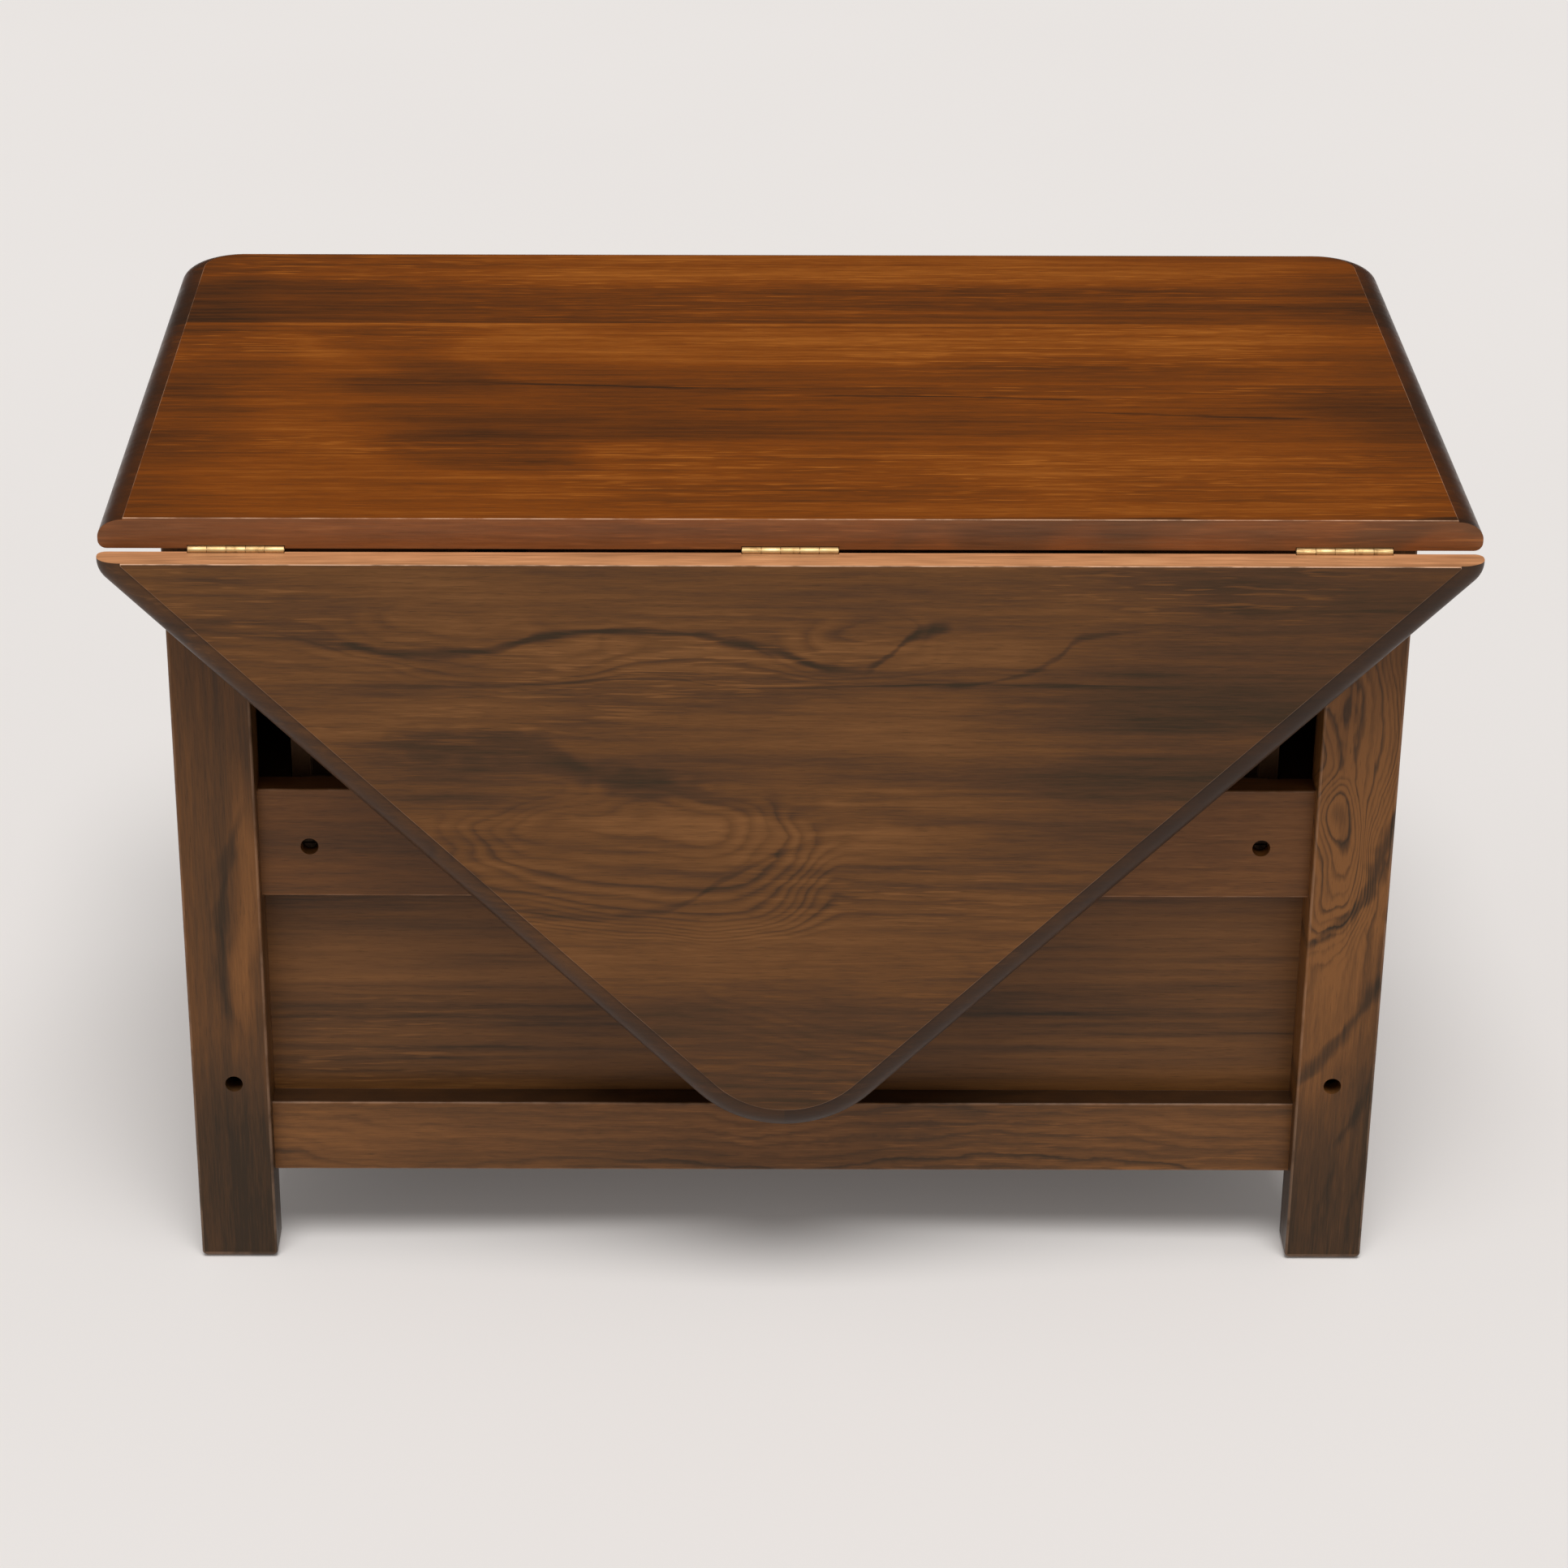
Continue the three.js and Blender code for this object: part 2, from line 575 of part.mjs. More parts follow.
// One half of a hinge. The plate lies on the side given by the sign along Y and its inner
// face is level with the underside of the board that carries it.
function hingeHalf(first, sign) {
  const low = PIN_OUT;
  const high = PIN_OUT + PLATE_THICK;
  const reach = HINGE_LENGTH / 2;
  const clear = NOTCH_RADIUS;
  let half = box([-reach, reach], [sign * clear, sign * (PLATE_WIDTH + PIN_OUT)], [low, high]);
  for (const [x0, x1] of knuckleRow(first)) {
    half = half.add(box([x0, x1], [0, sign * (clear + 1)], [low, high]));
    half = half.add(rodX(KNUCKLE_RADIUS, x0, x1, 0, 0, 28));
  }
  for (const x of [-18, 0, 18]) {
    const y = sign * (PIN_OUT + PLATE_WIDTH * (x === 0 ? 0.62 : 0.42));
    half = half.subtract(rodZ(1.6, low - 1, high + 1, x, y, 20));
  }
  return half.subtract(rodX(PIN_BORE, -reach - 1, reach + 1, 0, 0, 28));
}

function buildHinge(word, x) {
  const hinge = new THREE.Group();
  hinge.name = `hinge_${word}`;
  hinge.position.set(x, REAR_EDGE - PIN_OUT, UNDERSIDE - PIN_OUT);
  hinge.add(makePiece(`hinge_${word}_top_plate`, hingeHalf(0, 1), 'brass'));
  const leafPlate = makePiece(`hinge_${word}_leaf_plate`, hingeHalf(1, -1), 'brass');
  leafPlate.rotation.x = Math.PI / 2;
  hinge.add(leafPlate);
  const reach = HINGE_LENGTH / 2;
  hinge.add(makePiece(`hinge_${word}_pin`, rodX(PIN_RADIUS, -reach, reach, 0, 0, 28), 'brass'));
  return hinge;
}

// ---------------------------------------------------------------- pull-out bars
// y = 0 is the bar's nose; z = 0 is the underside of the top.
function buildBar(name, side) {
  const half = BAR_WIDTH / 2;
  const low = -BAR_HEIGHT - FIT_GAP;
  const channelStart = CASE_REAR - BAR_NOSE;
  const pegY = channelStart + PEG_FROM_END;
  const slotHalf = PEG_RADIUS + 0.5;
  let bar = box([-half, half], [0, BAR_LENGTH], [low, -FIT_GAP]);
  const slot = [pegY - slotHalf, pegY + slotHalf + BAR_STROKE];
  bar = bar.subtract(box([-slotHalf, slotHalf], slot, [low - 1, low + 7]));
  const piece = makePiece(name, bar, 'innerWood');
  piece.position.set(side * BAR_X, REAR_EDGE + BAR_NOSE, UNDERSIDE);
  return piece;
}

function buildChannel(name, side) {
  const inner = BAR_WIDTH / 2 + BAR_SLACK;
  const outer = inner + CHANNEL_WALL;
  const floor = -BAR_HEIGHT - 2 * FIT_GAP;
  const section = [
    [-outer, 0], [-outer, floor - CHANNEL_FLOOR], [outer, floor - CHANNEL_FLOOR], [outer, 0],
    [inner, 0], [inner, floor], [-inner, floor], [-inner, 0],
  ];
  let channel = prismY(section, 0, CHANNEL_LENGTH);
  channel = channel.add(rodZ(PEG_RADIUS, floor - 2, floor + 6, 0, PEG_FROM_END, 24));
  const piece = makePiece(name, channel, 'innerWood');
  piece.position.set(side * BAR_X, REAR_EDGE + CASE_REAR, UNDERSIDE);
  return piece;
}

// ---------------------------------------------------------------- assembly
const chest = new THREE.Group();
chest.name = 'corner_chest';
chest.add(buildTop());
chest.add(buildLeaf());
for (const [word, side] of [['left', -1], ['right', 1]]) {
  chest.add(buildLeg(`leg_rear_${word}`, side, -1));
  chest.add(buildLeg(`leg_front_${word}`, side, 1));
  chest.add(buildSideRail(`side_top_rail_${word}`, side, SIDE_TOP_RAIL, false));
  chest.add(buildSideRail(`side_bottom_rail_${word}`, side, SIDE_BOTTOM_RAIL, true));
  chest.add(buildSidePanel(`side_panel_${word}`, side));
  const panelFace = SIDE_LINE - PANEL_THICK / 2;
  const railFace = SIDE_LINE - SIDE_RAIL_THICK / 2;
  chest.add(buildRunner(`upper_runner_${word}`, side, UPPER_OPENING[0], panelFace, CASE_REAR));
  const behindPanel = CASE_REAR + PANEL_THICK;
  chest.add(buildRunner(`lower_runner_${word}`, side, LOWER_OPENING[0], railFace, behindPanel));
  chest.add(buildFrameScrew(`runner_screw_${word}`, side, RUNNER_SCREW));
  chest.add(buildFrameScrew(`leg_screw_${word}`, side, LEG_SCREW));
  chest.add(buildBar(`pull_out_bar_${word}`, side));
  chest.add(buildChannel(`bar_channel_${word}`, side));
}
chest.add(buildRearTopRail());
chest.add(buildRearUpperRail());
chest.add(placeCrossRail('rear_bottom_rail', crossRailSolid(BOTTOM_RAIL), -1));
chest.add(placeCrossRail('front_top_rail', crossRailSolid(TOP_RAIL), 1));
chest.add(placeCrossRail('front_middle_rail', crossRailSolid(MIDDLE_RAIL), 1));
chest.add(placeCrossRail('front_bottom_rail', crossRailSolid(BOTTOM_RAIL), 1));
chest.add(buildRearPanel());
chest.add(buildDrawer('upper', UPPER_OPENING));
chest.add(buildDrawer('lower', LOWER_OPENING));
for (const [word, x] of Object.entries(HINGE_CENTRES)) {
  chest.add(buildHinge(word, x));
}

export default chest;
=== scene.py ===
"""Looks for the low corner chest: a lacquered wooden case with a moulded top, a hanging
triangular leaf on three brass hinges, two drawers and two pull-out bars.

Metres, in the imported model's frame: X along the chest, the leaf on the -Y side, +Z up.
"""
import json
import math
import random

import bmesh
import bpy
from mathutils import Matrix, Vector


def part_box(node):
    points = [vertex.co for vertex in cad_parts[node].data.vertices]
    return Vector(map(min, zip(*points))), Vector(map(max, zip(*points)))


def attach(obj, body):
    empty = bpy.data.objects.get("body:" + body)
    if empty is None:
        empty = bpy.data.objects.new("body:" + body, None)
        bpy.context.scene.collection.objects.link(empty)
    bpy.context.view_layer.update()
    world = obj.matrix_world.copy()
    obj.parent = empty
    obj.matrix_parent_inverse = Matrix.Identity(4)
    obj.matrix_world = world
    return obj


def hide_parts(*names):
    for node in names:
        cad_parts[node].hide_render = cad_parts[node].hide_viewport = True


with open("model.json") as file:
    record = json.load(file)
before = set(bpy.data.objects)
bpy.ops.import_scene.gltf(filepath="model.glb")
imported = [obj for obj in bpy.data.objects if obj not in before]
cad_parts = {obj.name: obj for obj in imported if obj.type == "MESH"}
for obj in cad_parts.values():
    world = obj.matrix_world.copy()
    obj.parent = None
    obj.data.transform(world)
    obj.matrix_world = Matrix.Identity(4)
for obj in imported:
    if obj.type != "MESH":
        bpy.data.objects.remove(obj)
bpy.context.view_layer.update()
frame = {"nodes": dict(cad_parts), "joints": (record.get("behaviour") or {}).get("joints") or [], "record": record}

MM = 0.001

# ------------------------------------------------------------------ tones, linear RGB
TOP_TONES = [(0.050, 0.018, 0.005), (0.140, 0.037, 0.004), (0.240, 0.058, 0.003), (0.430, 0.130, 0.014)]
LEAF_TONES = [(0.037, 0.018, 0.004), (0.088, 0.034, 0.009), (0.146, 0.055, 0.011), (0.235, 0.094, 0.024)]
LEG_TONES = [(0.033, 0.017, 0.006), (0.082, 0.035, 0.011), (0.138, 0.054, 0.014), (0.240, 0.094, 0.024)]
RAIL_TONES = [(0.038, 0.018, 0.009), (0.100, 0.040, 0.012), (0.164, 0.061, 0.015), (0.265, 0.104, 0.027)]
PANEL_TONES = [(0.036, 0.018, 0.006), (0.108, 0.044, 0.013), (0.160, 0.064, 0.017), (0.230, 0.094, 0.026)]
# The inside wood, made darker than the drawer wood as painted shade for the shadowed inside of the case.
INNER_SHADE_TONES = [(0.016, 0.007, 0.003), (0.034, 0.014, 0.005), (0.052, 0.021, 0.007), (0.078, 0.034, 0.012)]
DRAWER_TONES = [(0.042, 0.019, 0.008), (0.090, 0.041, 0.015), (0.135, 0.063, 0.024), (0.195, 0.096, 0.038)]
BARE_TONES = [(0.360, 0.160, 0.070), (0.540, 0.245, 0.108), (0.690, 0.315, 0.140), (0.860, 0.430, 0.205)]
# The light colour of the arrises: rubbed wear and a painted highlight where the edges catch the light.
ARRIS_WEAR_AND_HIGHLIGHT_TONE = (0.800, 0.480, 0.300)
# The dark colour of the moulding's toning, also laid on as painted shade on the right moulding and the rail ledge.
EDGE_TONE = (0.030, 0.014, 0.007)
FLOOR_TONE = (0.800, 0.768, 0.746)
FLOOR_GLOW = 0.11

# ------------------------------------------------------------------ moulding, from the field down
MOULD_WIDTH = 15.1 * MM
MOULD_STEP = 1.2 * MM
BELLY_OUT = 14.8 * MM
BELLY_DROP = 12 * MM
BELLY_STEPS = 14
LOWER_ROUND_START = 14 * MM
LOWER_ROUND = 5 * MM
LOWER_ROUND_STEPS = 6
TOP_CORNER_RADIUS = 40 * MM
LEAF_CORNER_RADIUS = 16 * MM
LEAF_TIP_RADIUS = 75 * MM
FIELD_ARRIS = 0.45 * MM
# How dark each half of the moulding is toned beside the field, the right half darker as painted shade
# for being turned from the light, how toned and how bare the square hinge edge is, and how light
# the arrises are round the field and at the hinge edge, partly wear and partly painted highlight.
TOP_EDGES = {"toned_left": 0.62, "toned_and_shaded_right": 0.66, "edge_toned": 0.26, "edge_bare": 0.17,
             "wear_and_highlight": 0.40, "edge_wear_and_highlight": 0.80}
LEAF_EDGES = {"toned_left": 0.34, "toned_and_shaded_right": 0.70, "edge_toned": 0.0, "edge_bare": 1.0,
              "wear_and_highlight": 0.20, "edge_wear_and_highlight": 1.0}
# The toning deepens by this much with each step down the moulding, up to the most.
EDGE_TONED_RISE = 0.045
EDGE_TONED_MOST = 0.90
# How light the frame's eased arrises are made: wear and painted highlight.
FRAME_WEAR_AND_HIGHLIGHT = 0.16
PANEL_ARRIS = 0.6 * MM
INNER_ARRIS = 0.7 * MM
# The ledge on top of the bottom rail, darkened as painted shade for the shadowed gap under the rear panel.
LEDGE_PAINTED_SHADE = 0.9

# ------------------------------------------------------------------ lacquer, steel, hinges
LACQUER_SPECULAR = 0.22
LACQUER_COAT = 0.06
LACQUER_COAT_ROUGHNESS = 0.25
BRASS_TONES = [(0.40, 0.23, 0.08), (0.74, 0.50, 0.22), (0.90, 0.65, 0.32)]
RUBBED_BRASS_TONE = (0.98, 0.78, 0.46)
# Almost black screw steel: painted shade for the deep screw holes.
SHADED_STEEL_TONES = [(0.016, 0.011, 0.008), (0.040, 0.026, 0.018), (0.075, 0.052, 0.036)]
STEEL_ROUGHNESS = 0.70
BARREL_RADIUS = 2.4 * MM
BARREL_ROOM = 2.8 * MM
PLATE_FIT = 0.3 * MM
# The plates' inner faces stand this far from the pin's centre line.
PLATE_OUT = 0.75 * MM
PLATE_THICKNESS = 1.2 * MM
PLATE_WIDTH = 18 * MM
# How far a recess is cut on past the face that it opens from.
CUT_PAST = 2 * MM

# ------------------------------------------------------------------ camera and lamp
CAMERA_PLACE = (-0.04726, -2.48960, 1.45940)
CAMERA_PITCH = 0.45577
CAMERA_ROLL = 0.00215
CAMERA_LENS = 97.12
CAMERA_SHIFT = 0.0484
KEY_STRENGTH = 2.15
KEY_WIDTH_DEGREES = 32
KEY_TILT_DEGREES = (21, 1)
WORLD_STRENGTH = 0.36
# How fast the sky brightens towards +Y, as a share of how fast it brightens with height.
SKY_LEAN = -0.45


# ------------------------------------------------------------------ figure of the boards
# Places are (along the grain, across it), in metres. A patch is (place, reach, how dark); a
# swirl is (place, reach, how far it bends the rings); a vein is (points, width, how dark).
TOP_JOINTS = ((-0.128, -0.03), (-0.012, 0.05), (0.1003, -0.19))
TOP_PATCHES = (
    ((-0.245, 0.062), (0.075, 0.045), 0.20), ((-0.225, 0.000), (0.060, 0.045), 0.16),
    ((-0.195, -0.072), (0.065, 0.040), 0.14), ((-0.183, -0.128), (0.070, 0.048), 0.24),
    ((-0.330, 0.150), (0.110, 0.050), 0.08), ((0.050, -0.165), (0.450, 0.035), 0.08),
    ((0.0, 0.215), (0.480, 0.060), -0.22), ((-0.400, 0.0), (0.100, 0.300), 0.17),
    ((0.400, 0.0), (0.100, 0.300), 0.16), ((0.280, -0.140), (0.140, 0.060), 0.08),
    ((0.300, -0.2300), (0.300, 0.005), 0.34),
)
TOP_VEINS = (
    (((-0.200, -0.009), (-0.155, -0.011), (-0.070, -0.017), (0.000, -0.020)), 2.0 * MM, 0.26),
    (((0.000, -0.030), (0.080, -0.031), (0.151, -0.035), (0.200, -0.037)), 2.2 * MM, 0.30),
    (((-0.060, -0.053), (-0.010, -0.0545), (0.050, -0.054)), 2.4 * MM, 0.20),
    (((0.170, -0.057), (0.220, -0.061), (0.280, -0.066), (0.330, -0.068)), 2.2 * MM, 0.28),
    (((-0.100, -0.129), (-0.020, -0.133), (0.060, -0.138)), 1.8 * MM, 0.18),
)
LEAF_SWIRLS = (
    ((-0.085, 0.305), (0.150, 0.060), 0.075), ((-0.170, 0.449), (0.130, 0.032), 0.026),
    ((0.035, 0.447), (0.060, 0.026), 0.024), ((0.060, 0.215), (0.120, 0.045), 0.030),
)
LEAF_VEINS = (
    (((-0.300, 0.458), (-0.277, 0.454), (-0.250, 0.4495), (-0.218, 0.4454), (-0.182, 0.447),
      (-0.146, 0.456), (-0.1254, 0.4586), (-0.0915, 0.460), (-0.058, 0.458), (-0.035, 0.4536),
      (-0.012, 0.449), (0.010, 0.4403), (0.033, 0.4362), (0.053, 0.4404), (0.066, 0.453)), 3.4 * MM, 0.42),
    (((-0.320, 0.430), (-0.224, 0.4246), (-0.126, 0.4275), (-0.080, 0.430), (-0.0235, 0.424),
      (0.108, 0.4264), (0.240, 0.4225)), 1.3 * MM, 0.22),
    (((-0.280, 0.384), (-0.161, 0.386), (-0.115, 0.368), (-0.069, 0.358), (-0.011, 0.345),
      (0.046, 0.3405), (0.120, 0.338)), 12.0 * MM, 0.25),
    (((-0.175, 0.290), (-0.160, 0.278), (-0.131, 0.2726), (-0.082, 0.2754), (-0.034, 0.300),
      (0.014, 0.322), (0.060, 0.330)), 3.0 * MM, 0.20),
    (((0.042, 0.434), (0.058, 0.445), (0.072, 0.457), (0.096, 0.463)), 5.0 * MM, 0.34),
    (((0.080, 0.424), (0.130, 0.431), (0.156, 0.444), (0.172, 0.457), (0.215, 0.460)), 2.6 * MM, 0.24),
)
LEAF_PATCHES = (
    ((-0.340, 0.480), (0.120, 0.060), 0.14), ((0.340, 0.480), (0.160, 0.060), 0.10),
    ((0.0, 0.170), (0.200, 0.090), 0.24), ((0.0, 0.468), (0.300, 0.014), -0.06),
    ((0.240, 0.370), (0.170, 0.120), 0.20), ((0.160, 0.480), (0.260, 0.030), 0.10),
    ((0.020, 0.322), (0.130, 0.024), -0.18), ((-0.200, 0.407), (0.120, 0.020), -0.12),
    ((0.060, 0.395), (0.160, 0.022), -0.12), ((0.080, 0.215), (0.080, 0.024), -0.06),
)
LEAF_BOLD = (((-0.060, 0.300), (0.200, 0.060), 0.34), ((-0.130, 0.452), (0.210, 0.024), 0.22))
# A leg's grain runs up it, and its place across is minus X.
LEFT_LEG_VEINS = (
    (((0.150, 0.338), (0.169, 0.341), (0.199, 0.3468), (0.229, 0.346), (0.269, 0.3424),
      (0.294, 0.337), (0.330, 0.325)), 6.0 * MM, 0.22),
)
LEFT_LEG_PATCHES = (((0.255, 0.330), (0.130, 0.012), -0.34),)
RIGHT_LEG_VEINS = (
    (((0.215, -0.310), (0.2266, -0.322), (0.2447, -0.342), (0.262, -0.355), (0.288, -0.362),
      (0.330, -0.374)), 9.0 * MM, 0.50),
    (((0.120, -0.312), (0.1356, -0.3266), (0.156, -0.341), (0.176, -0.354),
      (0.215, -0.373)), 8.0 * MM, 0.38),
    (((0.080, -0.345), (0.110, -0.360), (0.150, -0.374)), 5.0 * MM, 0.20),
)
RIGHT_LEG_SWIRLS = (((0.345, -0.346), (0.130, 0.026), 0.050), ((0.290, -0.340), (0.070, 0.030), 0.030))
RIGHT_LEG_BOLD = (((0.330, -0.346), (0.150, 0.070), 0.72),)
RIGHT_LEG_PATCHES = (((0.320, -0.345), (0.140, 0.050), -0.30), ((0.310, -0.344), (0.030, 0.008), 0.26),
                     ((0.195, -0.335), (0.070, 0.040), -0.14))

# ================================================================== node trees
class Tree:
    """A material's node tree, with one short call for each kind of node used here."""

    def __init__(self, name):
        self.material = bpy.data.materials.new(name)
        self.material.use_nodes = True
        self.nodes = self.material.node_tree.nodes
        self.links = self.material.node_tree.links
        self.shader = self.nodes["Principled BSDF"]

    def put(self, socket, value):
        if isinstance(value, bpy.types.NodeSocket):
            self.links.new(value, socket)
        elif isinstance(value, tuple) and len(value) == 3 and socket.type == "RGBA":
            socket.default_value = (*value, 1)
        else:
            socket.default_value = value

    def node(self, kind, inputs=None, **settings):
        made = self.nodes.new(kind)
        for key, value in settings.items():
            setattr(made, key, value)
        for key, value in (inputs or {}).items():
            self.put(made.inputs[key], value)
        return made

    def math(self, operation, a, b=0.0, clamp=False):
        made = self.node("ShaderNodeMath", {0: a, 1: b}, operation=operation, use_clamp=clamp)
        return made.outputs[0]

    def noise(self, vector, detail=2.0, roughness=0.5, distortion=0.0):
        inputs = {"Vector": vector, "Scale": 1.0, "Detail": detail, "Roughness": roughness,
                  "Distortion": distortion}
        return self.node("ShaderNodeTexNoise", inputs).outputs["Fac"]

    def stretch(self, vector, scale, shift=(0, 0, 0)):
        """The vector with each part multiplied by scale, then shifted."""
        inputs = {"Vector": vector, "Scale": scale, "Location": shift}
        return self.node("ShaderNodeMapping", inputs).outputs["Vector"]

    def ramp(self, value, stops):
        made = self.node("ShaderNodeValToRGB", {"Fac": value})
        elements = made.color_ramp.elements
        while len(elements) < len(stops):
            elements.new(0.5)
        for element, (position, tone) in zip(elements, stops):
            element.position = position
            element.color = (*tone, 1) if isinstance(tone, tuple) else (tone, tone, tone, 1)
        return made.outputs["Color"]

    def span(self, value, low, high, to_low=0.0, to_high=1.0):
        """value taken smoothly from low..high to to_low..to_high."""
        inputs = {"Value": value, "From Min": low, "From Max": high, "To Min": to_low, "To Max": to_high}
        return self.node("ShaderNodeMapRange", inputs, interpolation_type="SMOOTHSTEP").outputs["Result"]

    def mix(self, factor, a, b, blend="MIX"):
        made = self.node("ShaderNodeMix", data_type="RGBA", blend_type=blend)
        for socket, value in zip((made.inputs[0], made.inputs[6], made.inputs[7]), (factor, a, b)):
            self.put(socket, value)
        return made.outputs[2]

    def path(self, along, points):
        """The place across of a smooth line drawn through the points, for each place along."""
        start, end = points[0][0], points[-1][0]
        heights = [height for _, height in points]
        low, rise = min(heights), max(heights) - min(heights)
        run = self.math("DIVIDE", self.math("SUBTRACT", along, start), end - start, clamp=True)
        made = self.node("ShaderNodeFloatCurve", {"Value": run})
        curve = made.mapping.curves[0]
        for place, height in points[1:-1]:
            curve.points.new((place - start) / (end - start), (height - low) / rise)
        curve.points[0].location = (0.0, (heights[0] - low) / rise)
        curve.points[-1].location = (1.0, (heights[-1] - low) / rise)
        made.mapping.update()
        return self.math("ADD", self.math("MULTIPLY", made.outputs[0], rise), low)

    def attribute(self, name):
        return self.node("ShaderNodeAttribute", attribute_name=name).outputs["Fac"]

    def bump(self, height, distance, strength, below=None):
        inputs = {"Height": height, "Distance": distance, "Strength": strength}
        if below is not None:
            inputs["Normal"] = below
        return self.node("ShaderNodeBump", inputs).outputs["Normal"]


# The turn that lays the grain (u), the face's width (v) and the thickness (w) on X, Y and Z.
GRAIN_TURN = {
    "X": (0.0, 0.0, 0.0),
    "X_UPRIGHT": (-math.pi / 2, 0.0, 0.0),
    "Y": (0.0, 0.0, -math.pi / 2),
    "Z": (-math.pi / 2, 0.0, -math.pi / 2),
}


def board_space(tree, grain):
    """Object coordinates turned so that the grain runs along X."""
    place = tree.node("ShaderNodeTexCoord").outputs["Object"]
    turned = tree.node("ShaderNodeVectorRotate", {"Vector": place, "Rotation": GRAIN_TURN[grain]},
                       rotation_type="EULER_XYZ")
    return place, turned.outputs["Vector"]


def centred(tree, value, amount):
    """A 0 to 1 pattern moved to the middle and scaled: plus or minus half of amount."""
    return tree.math("MULTIPLY", tree.math("SUBTRACT", value, 0.5), amount)


def warped(tree, board, parts, seed):
    """Places on the face pushed about by slow noise, so that no figure keeps a regular outline."""
    along = tree.noise(tree.stretch(board, (6.0, 14.0, 14.0), seed), 2.0, 0.55)
    across = tree.noise(tree.stretch(board, (7.0, 12.0, 12.0), (seed[1], seed[2], seed[0])), 2.0, 0.55)
    return {"X": tree.math("ADD", parts["X"], centred(tree, along, 0.16)),
            "Y": tree.math("ADD", parts["Y"], centred(tree, across, 0.050))}


def spot(tree, parts, place, reach):
    """1 at a place on the face, falling smoothly to 0 at the rim of an ellipse."""
    along = tree.math("DIVIDE", tree.math("SUBTRACT", parts["X"], place[0]), reach[0])
    across = tree.math("DIVIDE", tree.math("SUBTRACT", parts["Y"], place[1]), reach[1])
    squared = tree.math("ADD", tree.math("MULTIPLY", along, along),
                        tree.math("MULTIPLY", across, across))
    return tree.span(squared, 0.0, 1.0, 1.0, 0.0)


def vein(tree, parts, swelling, ragged, line):
    """A dark mineral line along a drawn path, swelling, thinning and feathered by the fibres."""
    points, width, depth = line
    off = tree.math("ABSOLUTE", tree.math("SUBTRACT", parts["Y"], tree.path(parts["X"], points)))
    off = tree.math("ADD", off, centred(tree, ragged, min(1.6 * width, 3.5 * MM)))
    reach = tree.span(swelling, 0.34, 0.66, 0.5 * width, 1.5 * width)
    strength = tree.span(tree.math("DIVIDE", off, reach), 0.1, 1.1, depth, 0.0)
    fade = (points[-1][0] - points[0][0]) * 0.16
    inside = tree.math("MULTIPLY", tree.span(parts["X"], points[0][0], points[0][0] + fade),
                       tree.span(parts["X"], points[-1][0] - fade, points[-1][0], 1.0, 0.0))
    return tree.math("MULTIPLY", strength, inside)


# How dark a ring is from its start to its end: early wood, then late wood with a soft far side.
RING_STOPS = [(0.0, 0.35), (0.20, 0.0), (0.44, 0.14), (0.68, 0.66), (0.84, 1.0), (1.0, 0.35)]
RING_MIDDLE = 0.30


def ring_lines(tree, sawn, parts, places, seed, grain, fine):
    """Growth rings where a wavy, knot-bent height field is cut level, each ring of its own depth."""
    along, across = grain["waves"]
    slow = tree.noise(tree.stretch(sawn, (along, across, across), seed), 2.0, 0.45)
    small = tree.noise(tree.stretch(sawn, (along * 6, across * 5, across * 5), seed), 3.0, 0.6)
    height = tree.math("ADD", parts["Y"], tree.math("MULTIPLY", parts["Z"], 0.6))
    height = tree.math("ADD", height, tree.math("MULTIPLY", parts["X"], grain["lean"]))
    height = tree.math("ADD", height, centred(tree, slow, grain["wander"]))
    height = tree.math("ADD", height, centred(tree, small, grain["ripple"]))
    height = tree.math("ADD", height, centred(tree, fine, 0.0018))
    for place, reach, lift in grain["swirls"]:
        height = tree.math("ADD", height, tree.math("MULTIPLY", spot(tree, places, place, reach), lift))
    count = tree.math("DIVIDE", height, grain["spacing"])
    number = tree.node("ShaderNodeTexWhiteNoise", {"W": tree.math("FLOOR", count)},
                       noise_dimensions="1D")
    depth = tree.span(number.outputs["Value"], 0.0, 1.0, 0.35, 1.0)
    rings = tree.ramp(tree.math("FRACT", count), RING_STOPS)
    return tree.math("MULTIPLY", tree.math("SUBTRACT", rings, RING_MIDDLE), depth)


# Plain straight grain. Lengths in metres: ring spacing, how far the rings wander and ripple. The
# rest are strengths, and the figure tables of one board.
STRAIGHT = {"spacing": 8 * MM, "waves": (0.8, 9.0), "wander": 0.012, "ripple": 0.006, "lean": 0.0,
            "figure": 0.10, "streaks": 0.50, "flecks": 0.08, "mottle": 0.25, "gloss": 0.38,
            "swirls": (), "veins": (), "patches": (), "joints": (), "bold": ()}
# The tone of wood without figure, and where each of a wood's four tones lies on that scale.
MIDDLE_TONE = 0.55
TONE_STOPS = (0.10, 0.36, 0.58, 0.90)
PORE_DARKNESS = 0.40
# Rings and flecks come and go over the board between these levels of slow noise.
PRESENCE_SPAN = (0.38, 0.60)
# How far the grain jumps at a glued joint: along, across and through the board.
JOINT_SHIFT = (3.71, 0.137, 0.291)


